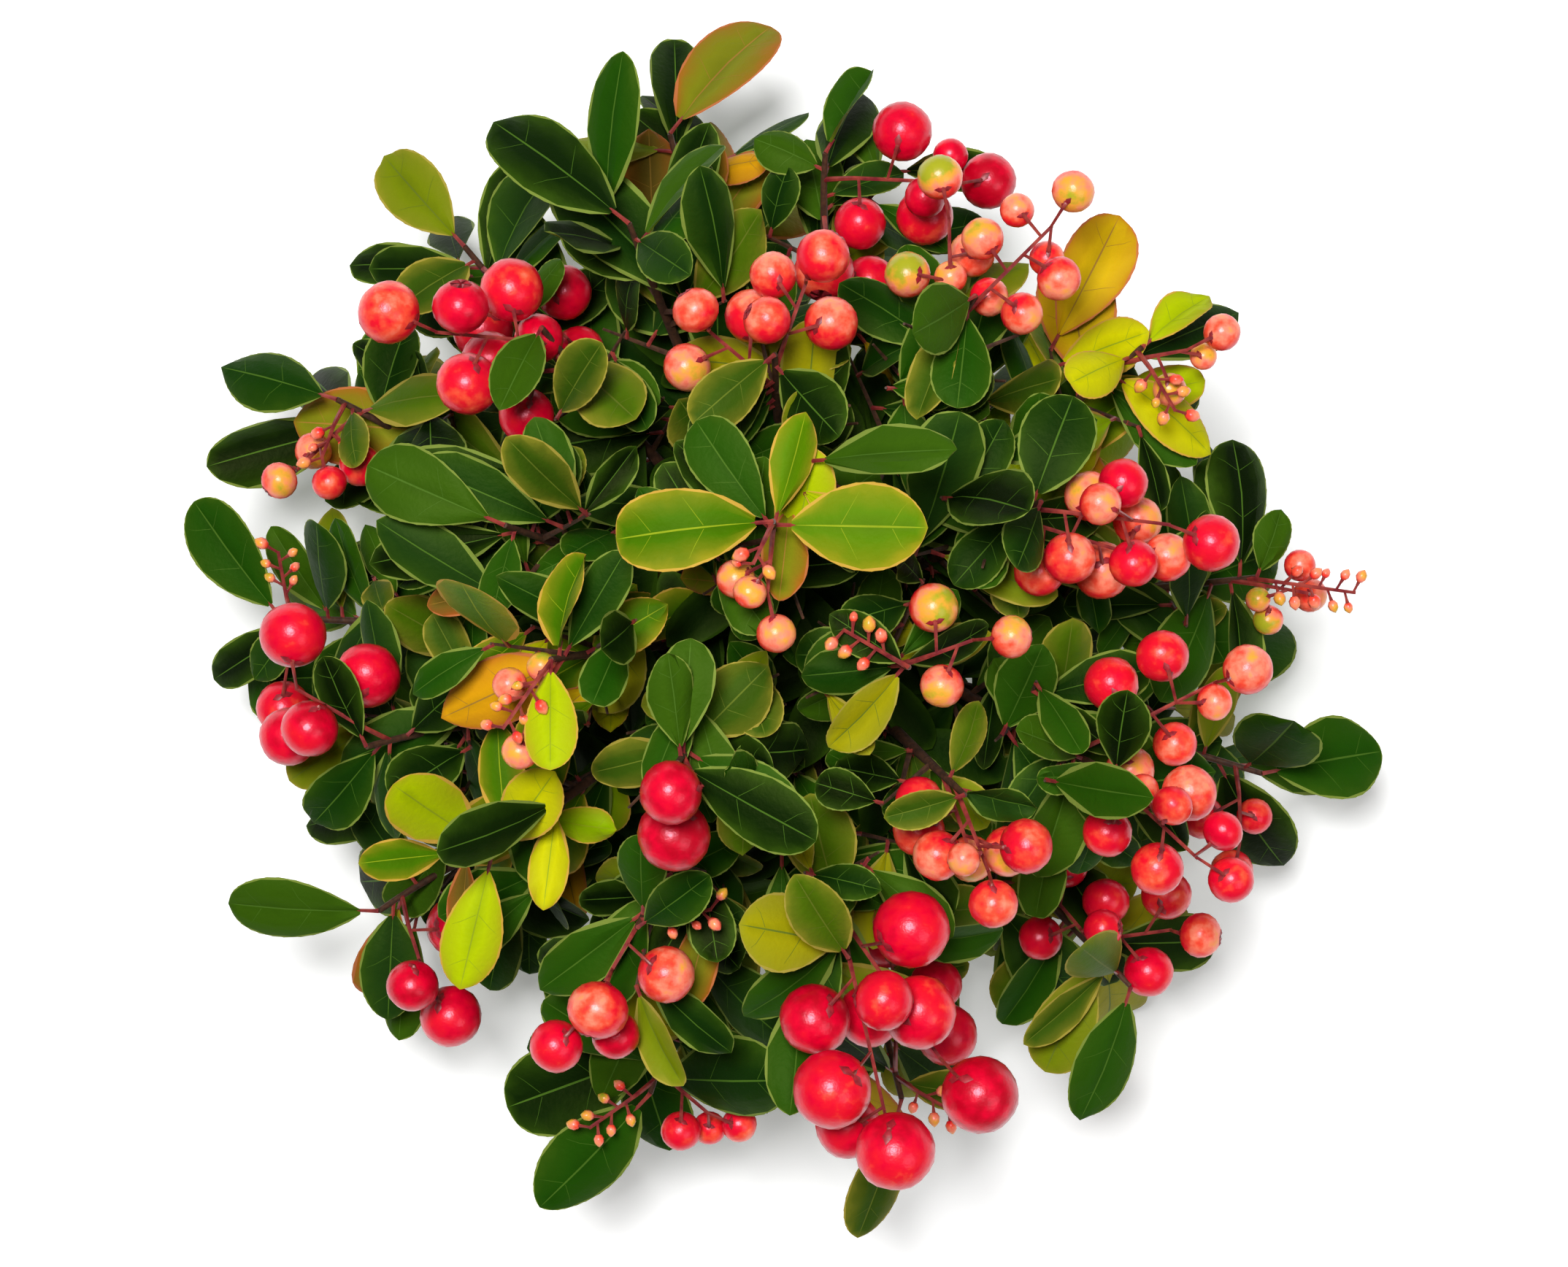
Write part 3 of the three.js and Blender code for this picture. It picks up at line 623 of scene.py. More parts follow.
def grow_side_twig(shoot, plant, draw, share, angle, count, reach=1.0, size=0.9, fine=False):
    foot = shoot.leader_at(share)
    axis = shoot.axis_at(share)
    rise = math.radians(SIDE_TWIG_RISE)
    way = around(axis, angle + TWIG_SWING * draw()) * math.cos(rise) + axis * math.sin(rise)
    end = foot + way * SIDE_TWIG_LENGTH * reach * within(TWIG_REACH_SPAN, draw())
    points = np.array([mix(foot, end, 0.5), end])
    if not in_space(shoot, plant, points, TWIG_RADIUS):
        return
    for point in points:
        if not clear_of(plant.beads, point, TWIG_RADIUS + LIMB_MARGIN):
            return
        if not clear_of(plant.fruit, point, TWIG_RADIUS):
            return
    shoot.twigs.append((foot, end))
    for k in range(count):
        down = k / (count - 1)
        base = mix(foot, end, within(TWIG_LEAF_PLACES, down))
        rise = within(TWIG_LEAF_RISES, down)
        order = k + TWIG_LEAF_ORDER
        grow_leaf(shoot, plant, draw, base, way, angle + GOLDEN_ANGLE * k, rise, size, order, fine)


def grow_side_twigs(shoot, plant):
    tier = tier_of(shoot.__dict__)
    for k, share in enumerate(tier["twigs"]):
        angle = shoot.face + GOLDEN_ANGLE * (k + 0.5)
        grow_side_twig(shoot, plant, shoot.random, share, angle, tier["leaves"])


def grow_fine(shoot, plant):
    """Carries a spray to finer twigs with smaller leaves, low on the leader first."""
    draw = stream(shoot.index + FINE_SEED)
    fine = FINE[TIERS.index(tier_of(shoot.__dict__))]
    for k, share in enumerate(fine["twigs"]):
        angle = shoot.face + FINE_TWIG_START + GOLDEN_ANGLE * k
        grow_side_twig(shoot, plant, draw, share, angle, FINE_TWIG_LEAVES, fine["reach"], fine["size"], True)
    for k, share in enumerate(FINE_LEAVES):
        base, axis = shoot.leader_at(share), shoot.axis_at(share)
        angle = shoot.face + FINE_LEAF_START + GOLDEN_ANGLE * k
        order = k + FINE_LEAF_ORDER
        grow_leaf(shoot, plant, draw, base, axis, angle, FINE_LEAF_RISE, fine["size"], order, True)


def grow_inner(shoot, plant):
    """Shade leaves along the bough, two to a node."""
    draw = stream(shoot.index + INNER_SEED)
    for k, share in enumerate(INNER_LEAVES):
        axis = shoot.curve.tangent(shoot.split * share)
        base = shoot.curve.at(shoot.split * share)
        order = k + INNER_ORDER
        for turn in (0, 180):
            angle = 90 * k + turn + INNER_SWING * draw()
            grow_leaf(shoot, plant, draw, base, axis, angle, INNER_RISE, INNER_SIZE, order, True, inner_fits)


def grow_more_fruit(shoot, plant):
    """Fills each raceme with more berries of uneven size, where there is room."""
    draw = stream(shoot.index + MORE_SEED)
    for foot, bend, end in shoot.racemes:
        for _ in range(round(MORE_BERRIES * shoot.berries)):
            radius = shoot.berry / 2 * within(MORE_SIZE_SPAN, draw())
            root = mix(bend, end, within(MORE_PLACE_SPAN, draw()))
            bearing = 360 * draw()
            for turn, rise in BERRY_TRIES:
                berry = hang(root, heading(bearing + turn, rise), radius, PEDICEL_LENGTH)
                ball = with_fruit([], [berry])
                if (berry_fits(shoot, plant, berry, plant.fruit, BERRY_PRESS)
                        and not any(touches_balls(leaf, ball, False) for leaf in shoot.leaves)):
                    shoot.fruit.append(berry)
                    plant.fruit = with_fruit(plant.fruit, [berry])
                    break


def grow_buds(shoot, plant):
    """A slender raceme of unopened buds to both sides, which hang."""
    if shoot.name not in BUDS:
        return
    share, bearing, count = BUDS[shoot.name]
    draw = stream(shoot.index + BUD_SEED)
    foot = shoot.leader_at(share)
    bend = foot + heading(bearing, BUD_RACEME_RISE) * BUD_RACEME_START
    end = bend + heading(bearing, BUD_RACEME_SAG) * BUD_SPACING * count
    for k in range(count):
        root = mix(bend, end, (k + 0.3) / count)
        spread = (1 if k % 2 else -1) * within(BUD_SPREAD_SPAN, draw())
        way = heading(bearing + spread, within(BUD_RISE_SPAN, draw()))
        bud = hang(root, way, within(BUD_RADIUS_SPAN, draw()), BUD_STALK)
        points = [root, bud["centre"]]
        if in_space(shoot, plant, points, bud["radius"]) and clear_of(plant.fruit, points[1], bud["radius"]):
            shoot.buds.append(bud)
    if shoot.buds:
        shoot.racemes.append((foot, bend, shoot.buds[-1]["root"]))


def tilt_leaves(shoot, plant):
    """Turns each blade about its midrib, where it stays clear of everything."""
    draw = stream(shoot.index + INNER_SEED)
    for leaf in shoot.leaves:
        turn = mix(-LEAF_TILT, LEAF_TILT, draw())
        normal = math.cos(turn) * leaf["normal"] + math.sin(turn) * leaf["side"]
        tilted = shape_leaf({**leaf, "normal": normal, "side": np.cross(leaf["along"], normal)})
        others = [mate for mate in plant.near(tilted) if mate is not leaf]
        if tilted["outline"][:, 2].min() > GROUND_MARGIN and clear_of_all(plant, tilted, others):
            leaf.update(tilted)


def grow_plant():
    """Takes each step over all sprays before the next, in the order that the solids need."""
    plant = Plant()
    for step in (grow_fruit, grow_leader, grow_side_twigs, grow_more_fruit, grow_fine, grow_inner,
                 grow_buds, tilt_leaves):
        for shoot in plant.shoots:
            step(shoot, plant)
    return plant


# Colours

def linear(code):
    """A colour from its usual code, as light."""
    parts = [int(code[i:i + 2], 16) / 255 for i in (0, 2, 4)]
    return [c / 12.92 if c <= 0.04045 else ((c + 0.055) / 1.055) ** 2.4 for c in parts]


class Group:
    """A shader node group with its named inputs and outputs."""

    def __init__(self, name, takes, gives):
        self.tree = bpy.data.node_groups.new(name, "ShaderNodeTree")
        for label, value in takes.items():
            made = self.tree.interface.new_socket(label, in_out="INPUT", socket_type="NodeSocketFloat")
            made.default_value = value
        for label, kind in gives.items():
            self.tree.interface.new_socket(label, in_out="OUTPUT", socket_type=kind)
        self.takes = self.tree.nodes.new("NodeGroupInput").outputs
        self.gives = self.tree.nodes.new("NodeGroupOutput").inputs

    def add(self, kind, links, operation=None):
        """A node whose sockets are fed by others."""
        node = self.tree.nodes.new(kind)
        if operation:
            node.operation = operation
        for socket, source in links.items():
            self.tree.links.new(source, node.inputs[socket])
        return node.outputs

    def noise(self):
        """A noise over the object's own coordinates."""
        place = self.add("ShaderNodeTexCoord", {})["Object"]
        links = {"Vector": place, "Scale": self.takes["Scale"], "Detail": self.takes["Detail"]}
        return self.add("ShaderNodeTexNoise", links)["Fac"]

    def give(self, **sources):
        for label, source in sources.items():
            self.tree.links.new(source, self.gives[label])
        return self.tree


def grain_group():
    """A noise as a tone and as a fine relief, for bark, blades and berries alike."""
    group = Group(
        "skin grain", {"Scale": 900, "Detail": 5, "Depth": 0.0001},
        {"Tone": "NodeSocketFloat", "Normal": "NodeSocketVector"},
    )
    tone = group.noise()
    bump = group.add("ShaderNodeBump", {"Distance": group.takes["Depth"], "Height": tone})
    return group.give(Tone=tone, Normal=bump["Normal"])


def mottle_group():
    """A noise added to the shade that each point of a mesh carries, for blades and berries."""
    takes = {"Scale": 130, "Detail": 8, "Noise share": 0.6, "Shade share": 0.65}
    group = Group("skin mottle", takes, {"Place": "NodeSocketFloat"})
    part = group.add("ShaderNodeMath", {0: group.noise(), 1: group.takes["Noise share"]}, "MULTIPLY")
    shade = group.tree.nodes.new("ShaderNodeAttribute")
    shade.attribute_name = "shade"
    links = {0: shade.outputs["Fac"], 1: group.takes["Shade share"], 2: part[0]}
    return group.give(Place=group.add("ShaderNodeMath", links, "MULTIPLY_ADD")[0])


SKIN_GRAIN, SKIN_MOTTLE = grain_group(), mottle_group()


def set_sockets(node, sockets):
    for socket, value in sockets.items():
        node.inputs[socket.replace("_", " ")].default_value = value


class Skin:
    """A material, with the two groups placed in it and a ramp for its colour."""

    def __init__(self, name, **sockets):
        self.material = bpy.data.materials.new(name)
        self.material.use_nodes = True
        self.tree = self.material.node_tree
        self.shader = self.tree.nodes["Principled BSDF"]
        set_sockets(self.shader, sockets)

    def place(self, group, **sockets):
        node = self.tree.nodes.new("ShaderNodeGroup")
        node.node_tree = group
        set_sockets(node, sockets)
        return node.outputs

    def colour(self, by, stops):
        ramp = self.tree.nodes.new("ShaderNodeValToRGB")
        elements = ramp.color_ramp.elements
        for i, (place, colour) in enumerate(stops):
            element = elements[i] if i < 2 else elements.new(place)
            element.position = place
            element.color = (*colour, 1)
        self.tree.links.new(by, ramp.inputs["Fac"])
        self.tree.links.new(ramp.outputs["Color"], self.shader.inputs["Base Color"])

    def relief(self, normal):
        self.tree.links.new(normal, self.shader.inputs["Normal"])


def leaf_material(name, code, rough, margin=None):
    """A leathery blade: one plain tint that is mottled, turns toward the margin's, and has a fine grain."""
    skin = Skin(name, Roughness=rough, Specular_IOR_Level=0.08, Specular_Tint=(0.8, 1, 0.3, 1))
    tint = np.array(linear(code))
    edge = np.array(linear(margin or code))
    skin.colour(skin.place(SKIN_MOTTLE, Scale=130, Detail=8, Noise_share=0.6, Shade_share=0.65)["Place"], [
        (0.15, tint * 0.78),
        (0.5, tint * (1.1, 1.05, 1)),
        (0.8, mix(tint, edge, 0.25)),
        (1, mix(tint, edge, 0.7)),
    ])
    skin.relief(skin.place(SKIN_GRAIN, Scale=1100, Detail=5, Depth=0.0001)["Normal"])
    return skin.material


def fibre_material(name, code, other, scale, rough, relief):
    """Bark or the skin of a twig: two tones in a noise, with its relief."""
    skin = Skin(name, Roughness=rough)
    grain = skin.place(SKIN_GRAIN, Scale=scale, Detail=6, Depth=relief)
    skin.colour(grain["Tone"], [(0.35, linear(code)), (0.65, linear(other))])
    skin.relief(grain["Normal"])
    return skin.material


def berry_material():
    """The skin of a berry, from pale green through orange and pink to crimson by how ripe it is, with painted
    highlight and shade.
    """
    skin = Skin("berry skin", Roughness=0.3, Specular_IOR_Level=0.6, Specular_Tint=(1, 0.5, 0.62, 1))
    skin.colour(skin.place(SKIN_MOTTLE, Scale=420, Detail=5, Noise_share=0.5, Shade_share=1)["Place"], [
        (place, linear(code)) for place, code in (
            (0.12, "9EA020"), (0.23, "E89E38"), (0.33, "F4866A"), (0.43, "EC4E34"),
            (0.53, "DE1426"), (0.66, "D6002A"), (0.8, "B0001C"),
        )
    ])
    skin.relief(skin.place(SKIN_GRAIN, Scale=1500, Detail=2, Depth=0.00005)["Normal"])
    return skin.material


# Meshes

SHARP_ANGLE = 50


class Pile:
    """A growing mesh, joined from many small shapes."""

    def __init__(self):
        self.points = []
        self.faces = []
        self.slots = []
        self.shades = []
        self.count = 0

    def add(self, points, faces, slots=0, shades=None):
        self.points.append(np.asarray(points))
        self.faces += [[i + self.count for i in face] for face in faces]
        self.slots += [slots] * len(faces) if isinstance(slots, int) else list(slots)
        self.shades += [0.0] * len(points) if shades is None else list(shades)
        self.count += len(points)

    def piece(self, name, materials, slot, nodes=(), shaded=False):
        mesh = bpy.data.meshes.new(name)
        mesh.from_pydata((np.concatenate(self.points) / 1000).tolist(), [], self.faces)
        for material in materials:
            mesh.materials.append(material)
        mesh.polygons.foreach_set("material_index", self.slots)
        mesh.shade_smooth()
        if shaded:
            attribute = mesh.attributes.new("shade", "FLOAT", "POINT")
            attribute.data.foreach_set("value", self.shades)
        mesh.set_sharp_from_angle(angle=math.radians(SHARP_ANGLE))
        mesh.update()
        made = stand(name, mesh)
        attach(made, "root")
        if nodes:
            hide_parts(*nodes)


def stand(name, data):
    """Puts a mesh, a light or a camera in the scene."""
    made = bpy.data.objects.new(name, data)
    bpy.context.scene.collection.objects.link(made)
    return made


def turns_of(sides):
    return np.arange(sides) * 2 * math.pi / sides


def ring_at(centre, start, other, turns, radius):
    """Points round a centre, by two directions that are square to the axis."""
    ways = np.cos(turns)[:, None] * start + np.sin(turns)[:, None] * other
    return centre + np.reshape(radius, (-1, 1)) * ways


def bands(rings, sides, first=0):
    """The faces between rings of points that follow each other."""
    faces = []
    for row in range(first, first + (rings - 1) * sides, sides):
        for k in range(sides):
            a, b = row + k, row + (k + 1) % sides
            faces.append([a, b, b + sides, a + sides])
    return faces


def closed_tube(rings, sides):
    last = (rings - 1) * sides
    return [*bands(rings, sides), list(range(sides))[::-1], [last + k for k in range(sides)]]


def closed_skin(rings, sides):
    """The faces over a first point, rings of points and a last point."""
    last = 1 + (rings - 1) * sides
    foot = [[0, 1 + (k + 1) % sides, 1 + k] for k in range(sides)]
    end = [[last + k, last + (k + 1) % sides, last + sides] for k in range(sides)]
    return foot + bands(rings, sides, 1) + end


def tube(points, radii, sides=6, relief=None):
    """A round limb through points, closed at both ends."""
    points = np.asarray(points)
    turns = turns_of(sides)
    rings = []
    start = None
    for i, point in enumerate(points):
        axis = unit(points[min(i + 1, len(points) - 1)] - points[max(i - 1, 0)])
        start = square_to(axis, start) if start is not None else around(axis, 0)
        radius = radii[i] + relief(i, turns) if relief else radii[i]
        rings.append(ring_at(point, start, np.cross(axis, start), turns, radius))
    return np.concatenate(rings), closed_tube(len(points), sides)


def rounded(points, steps):
    """A smooth run through a bent line: a curve pulled toward its middle point."""
    a, b, c = points
    t = (np.arange(steps + 1) / steps)[:, None]
    bow = (2 * b - (a + c) / 2) * 0.7 + 0.3 * b
    return (1 - t) ** 2 * a + 2 * t * (1 - t) * bow + t ** 2 * c


def raceme_run(foot, bend, end):
    before, after = mix(foot, bend, 0.8), mix(bend, end, 0.08)
    corner = (before + 2 * bend + after) / 4
    return [foot, mix(foot, bend, 0.4), before, corner, after, mix(bend, end, 0.5), mix(bend, end, 1.03)]


# Blades. Lines run across the blade along its side veins, and strips run along it.

FULL_LINES = np.array([0, 0.18, 0.36, 0.55, 0.74, 0.9])
FINE_LINES = np.array([0, 0.3, 0.6, 0.86])
STRIPS = np.array([-1, -0.965, -0.5, -0.024, 0.024, 0.5, 0.965, 1])
TEETH = [(0.3, 0.7), (0.4, 0.0), (0.72, 0.7), (0.82, 0.0)]
FINE_EDGE = [(0.33, 0.0), (0.67, 0.0)]
TIP_EDGE = [(0.35, 0.0), (0.7, 0.0)]
TOOTH = 0.12
TIP_POINT = 0.15
WAVES = 1.25
CURL_POWER = 2.2
NARROW = 0.3
VEIN_SLANT = 0.75
VEIN_DEPTH = 0.14
RIB_DEPTH = 0.12
RIB_HALF_WIDTH = 0.1
QUILT = [0.05, 0.5, 0.9, 1], [0.3, 1, 0.4, 0]
LOW_STRIPS = [-0.5, 0, 0.5]
VEIN_RUN = np.array([0.06, 1, 0.6])[:, None]
VEIN_HALF_WIDTH = np.array([0.06, 0.05, 0.02])[:, None]
VEIN_SPACING = 0.18
VEIN_LIFT = 0.03
BLADE_THICKNESS = 0.42
BLADE_START = 0.12
BLADE_GROWTH = 1.05
BLADE, RIB, RIM, UNDER = range(4)
PETIOLE_RUN = np.array([0, 0.05, 0.11, 0.17])
PETIOLE_DROP = np.array([0, -0.1, -0.25, -0.45])
PETIOLE_RADII = [0.42, 0.34, 0.32, 0.2]


def blade_place(leaf, look, s, v, depth=0.0, out=0.0):
    """A point of the upper face: s counts the lines from the blade's foot to its tip."""
    width = np.abs(v)
    u = BLADE_START + (1 - BLADE_START) * (s + VEIN_SLANT * width * s * (1 - s))
    half = half_width(leaf, u)
    wave = look["wave"] * np.sin(WAVES * 2 * math.pi * s + look["phase"]) * width ** 2
    lift = half * (look["fold"] * width - look["curl"] * width ** CURL_POWER) + wave - depth
    wider = np.where(half > NARROW, 1 + out / np.maximum(half, NARROW), 1)
    return blade_points(leaf, u, v * wider, lift)


def leaf_mesh(leaf, look):
    s = FINE_LINES if leaf["fine"] else FULL_LINES
    lines = len(s)
    ends = [*s, 1.0]
    columns = len(STRIPS)
    grid_s = np.repeat(s, columns)
    grid_v = np.tile(STRIPS, lines)
    on_vein = np.repeat(np.arange(lines) % 2 == 0, columns)
    depth = 0 if leaf["fine"] else VEIN_DEPTH
    quilt = np.where(on_vein, depth, -depth) * np.interp(np.abs(grid_v), *QUILT)
    rib = np.where(np.abs(grid_v) < RIB_HALF_WIDTH, RIB_DEPTH, 0.0)
    upper = blade_place(leaf, look, grid_s, grid_v, quilt + rib)
    points = [upper]
    shades = [*np.abs(grid_v), 1.0]
    tip = lines * columns
    points.append((blade_points(leaf, 1, 0) + leaf["along"] * TIP_POINT)[None])

    def at(k, c):
        return tip if k == lines else k * columns + c

    # Teeth between the lines on both edges
    edges = {}
    count = tip + 1
    teeth = FINE_EDGE if leaf["fine"] else TEETH
    for v, c in ((-1, 0), (1, columns - 1)):
        for k in range(lines):
            edges[c, k] = []
            for share, out in TIP_EDGE if k == lines - 1 else teeth:
                place = mix(ends[k], ends[k + 1], share)
                points.append(blade_place(leaf, look, place, np.float64(v), 0.0, TOOTH * out)[None])
                edges[c, k].append(count)
                shades.append(1.0)
                count += 1
    under = count
    low = blade_place(leaf, look, np.repeat(s, 3), np.tile(LOW_STRIPS, lines), BLADE_THICKNESS)
    rows = upper.reshape(lines, columns, 3)
    points.append(np.hstack([rows[:, 1:2], low.reshape(lines, 3, 3), rows[:, 6:7]]).reshape(-1, 3))
    points.append(points[1])

    faces, slots = [], []

    def face(slot, *corners):
        corners = [c for i, c in enumerate(corners) if c != corners[i - 1]]
        if len(corners) > 2:
            faces.append(corners)
            slots.append(slot)

    # Both faces of the blade are split the same way, so that the lower never cuts the upper
    for k in range(lines):
        face(RIM, at(k, 0), at(k, 1), at(k + 1, 1), at(k + 1, 0), *edges[0, k][::-1])
        face(RIM, at(k, 6), at(k, 7), *edges[7, k], at(k + 1, 7), at(k + 1, 6))
        for c, kind in ((1, BLADE), (2, BLADE), (3, RIB), (4, BLADE), (5, BLADE)):
            face(kind, at(k, c), at(k, c + 1), at(k + 1, c + 1))
            face(kind, at(k, c), at(k + 1, c + 1), at(k + 1, c))
        for a in range(under + 5 * k, under + 5 * k + 4):
            ahead, beside = (under + 5 * lines,) * 2 if k == lines - 1 else (a + 5, a + 6)
            face(UNDER, a, ahead, beside)
            face(UNDER, a, beside, a + 1)
    face(UNDER, *[at(0, c) for c in range(1, columns - 1)][::-1], under + 1, under + 2, under + 3)

    # Pale side veins on the larger blades, just above the facets
    if not leaf["fine"]:
        first = under + 5 * lines + 1
        for k in range(2, lines - 1, 2):
            for a, b, c in ((4, 5, 6), (3, 2, 1)):
                before, here, after = (
                    mix(row[[a, b, b]], row[[b, b, c]], VEIN_RUN) for row in rows[k - 1:k + 2]
                )
                share = VEIN_HALF_WIDTH / leaf["length"] / VEIN_SPACING
                vein = np.concatenate([mix(here, before, share), mix(here, after, share)])
                points.append(vein + leaf["normal"] * VEIN_LIFT)
                for i in (first, first + 1):
                    quad = [i, i + 1, i + 4, i + 3]
                    face(RIB, *(quad if a < b else quad[::-1]))
                first += 6
    points = np.concatenate(points)
    return points, faces, slots, shades + [0.0] * (len(points) - len(shades))


def petiole(leaf):
    points = blade_points(leaf, PETIOLE_RUN, 0.0, PETIOLE_DROP)
    return tube(points, PETIOLE_RADII, 5)


# Berries

BERRY_SIDES = 20
BERRY_RINGS = [0, 14, 30, 48, 68, 88, 108, 128, 146, 158]
LOBES = 5
LOBE_SWELL = 0.035
MOUTH_PLACE = 0.74
MOUTH_PALER = 0.1
STAR_PLACE = 0.93
COLLAR_BACK = 0.25
COLLAR_HALF_WIDTH = 0.3
BUD_SIDES = 7
BUD_STRETCH = 1.15
BUD_POINT = 1.3
BUD_RINGS = [(0, 0), (35, 1), (75, 1), (115, 0.95), (150, 0.8)]

# Corners of a tooth and of a bract: across, outward and along the axis, in radii of the berry
STAR_CORNERS = [(-0.17, 0.37, 0), (0.17, 0.37, 0), (0, 0.06, 0.02), (0, 0.24, 0.07)]
SEPAL_CORNERS = [(0.13, 0.2, 0.01), (-0.13, 0.2, 0.01), (0, 0.4, 0.07), (0, 0.2, -0.05)]
SEPAL_FACES = [(0, 1, 5), (1, 2, 5), (2, 4, 5), (4, 3, 5), (3, 0, 5)]


def shades_of(ripe):
    """How ripe each point is, with the painted highlight and shade, as its place on the colour ramp before
    the mottle.
    """
    return [0.75 * share - 0.2 for share in ripe]


def berry_mesh(berry, look):
    """A berry on its axis: a round skin with five shallow lobes round the mouth at its free end."""
    way = look["axis"]
    start = around(way, look["turn"])
    other = np.cross(way, start)
    radius, centre = berry["radius"], berry["centre"]
    turns = turns_of(BERRY_SIDES)
    points, ripe = [], []
    for degrees in BERRY_RINGS:
        angle = math.radians(degrees)
        lobe = LOBE_SWELL * math.sin(angle / 1.2) ** 4 * (degrees / BERRY_RINGS[-1]) ** 3
        lobe = lobe * np.cos(LOBES * turns)
        middle = centre - radius * math.cos(angle) * look["squat"] * way
        ring = ring_at(middle, start, other, turns, radius * math.sin(angle) * (1 + lobe))
        points.append(ring if degrees else ring[:1])
        # Painted highlight and shade: the side toward the light is made less ripe and paler, and the far side
        # riper and redder.
        up = (points[-1] - centre) @ look["glare_way"] / radius
        ripe += list(look["ripe"] + look["painted_glare"] * up - look["foot"] * max(math.cos(angle), 0) ** 2)
    points.append((centre + way * radius * look["squat"] * MOUTH_PLACE)[None])
    ripe.append(look["ripe"] - MOUTH_PALER)
    faces = closed_skin(len(BERRY_RINGS) - 1, BERRY_SIDES)
    slots = [0] * (len(faces) - BERRY_SIDES) + [1] * BERRY_SIDES
    return np.concatenate(points), faces, slots, shades_of(ripe)


def star_mesh(berry, look):
    """The five pointed teeth that close over the mouth."""
    way = look["axis"]
    start = around(way, look["turn"])
    other = np.cross(way, start)
    radius = berry["radius"]
    rim = berry["centre"] + way * radius * look["squat"] * STAR_PLACE
    points, faces = [], []
    for k in range(LOBES):
        angle = 2 * math.pi * (k + 0.5) / LOBES
        out = math.cos(angle) * start + math.sin(angle) * other
        across = np.cross(way, out)
        n = len(points)
        points += [rim + radius * (a * across + b * out + c * way) for a, b, c in STAR_CORNERS]
        faces += [[n, n + 1, n + 3], [n + 1, n + 2, n + 3], [n + 2, n, n + 3]]
    return np.array(points), faces


def sepal_mesh(berry, look):
    """Two small bracts and a collar where the stalk meets the berry."""
    way = look["axis"]
    radius = berry["radius"]
    base = berry["centre"] - way * radius * look["squat"]
    points, faces = [], []
    for k in range(2):
        out = around(way, look["turn"] + 180 * k)
        across = np.cross(way, out)
        n = len(points)
        collar = base - way * COLLAR_BACK
        points += [collar - across * COLLAR_HALF_WIDTH, collar + across * COLLAR_HALF_WIDTH]
        points += [base + radius * (a * across + b * out + c * way) for a, b, c in SEPAL_CORNERS]
        faces += [[n + i for i in corners] for corners in SEPAL_FACES]
    return np.array(points), faces


def bud_mesh(bud, ripe):
    """An unopened bud: a small egg with a blunt point."""
    way, radius, centre = bud["way"], bud["radius"], bud["centre"]
    start = around(way, 0)
    other = np.cross(way, start)
    points, shades = [], []
    for degrees, swell in BUD_RINGS:
        angle = math.radians(degrees)
        middle = centre - way * radius * BUD_STRETCH * math.cos(angle)
        ring = ring_at(middle, start, other, turns_of(BUD_SIDES), radius * math.sin(angle) * swell)
        points.append(ring if degrees else ring[:1])
        shades += [ripe + 0.25 * max(math.cos(angle), 0)] * len(points[-1])
    points.append((centre + way * radius * BUD_POINT)[None])
    shades.append(ripe - 0.05)
    return np.concatenate(points), closed_skin(len(BUD_RINGS) - 1, BUD_SIDES), 0, shades_of(shades)


# Growing and dressing the plant

plant = grow_plant()

# The last two dark tints are painted shade for the leaves under the crown, and are dealt to other dark leaves
# too.
BLADE_TINTS = {
    "dark": ["103204", "184004", "0D2805", "204606", "18340C", "2E4E08", "091D03", "061402"],
    "olive": ["425E08", "647408", "304A0A", "888608", "324C0A"],
    "fresh": ["3C6402", "4C7202", "7C9E02", "98AC02", "B0B204"],
    "bronze": ["6E7212", "6A6A10", "BE8A0C", "66521A", "B89A0C"],
}
EDGE_CODES = {"dark": "34500C", "olive": "8A8226", "fresh": "A08E1C", "bronze": "A84A1C"}
RIB_CODES = {"dark": "42641E", "olive": "5C6C20", "fresh": "86981A", "bronze": "94702C"}
RIM_CODES = {"dark": "6E7E34", "olive": "988A38", "fresh": "B8923A", "bronze": "B0663A"}
UNDER_CODE = "66821E"
BLADE_ROUGHNESS = 0.52
RIB_ROUGHNESS = 0.5
UNDER_ROUGHNESS = 0.6

# How often a leaf of each spray has turned to another tint
TURNED = {
    "dark": [("olive", 0.16), ("bronze", 0.01)],
    "olive": [("dark", 0.35), ("bronze", 0.1)],
    "fresh": [("bronze", 0.1), ("olive", 0.2)],
    "bronze": [("olive", 0.3), ("dark", 0.35)],
}

# Tints of single leaves that are known, by their order in the spray
KNOWN_TINTS = {
    "crown_pair": [("fresh", 0), ("fresh", 1), ("dark", 3), ("dark", 1), ("dark", 5)],
    "north_tip": [("bronze", 0), ("olive", 1)],
    "north_east_fresh": [("fresh", 3), ("fresh", 4), ("fresh", 4), ("bronze", 4)],
    "west_fresh": [("fresh", 3), ("fresh", 0), ("bronze", 2), ("fresh", 0)],
    "south_west_fresh": [("fresh", 3)],
    "south_rim": [("dark", 1)],
    "south_east_rim": [("dark", 3)],
    "south_low": [("olive", 2)],
}
# Painted shade: the share of fine leaves in lighter sprays that take a dark tint, and the darkest tints that
# the shade leaves take
FINE_PAINTED_SHADE = 0.7
PAINTED_SHADE_TINTS = [2, 6, 7, 6]

# Spans of the seeded differences between blades and between berries
CUT_SPANS = {
    "width": (0.7, 0.95), "taper": (0.72, 1), "blunt": (0.46, 0.72),
    "fold": (0.1, 0.85), "curl": (0.16, 0.6), "wave": (0, 0.8),
}
FINE_WIDTH = 0.92
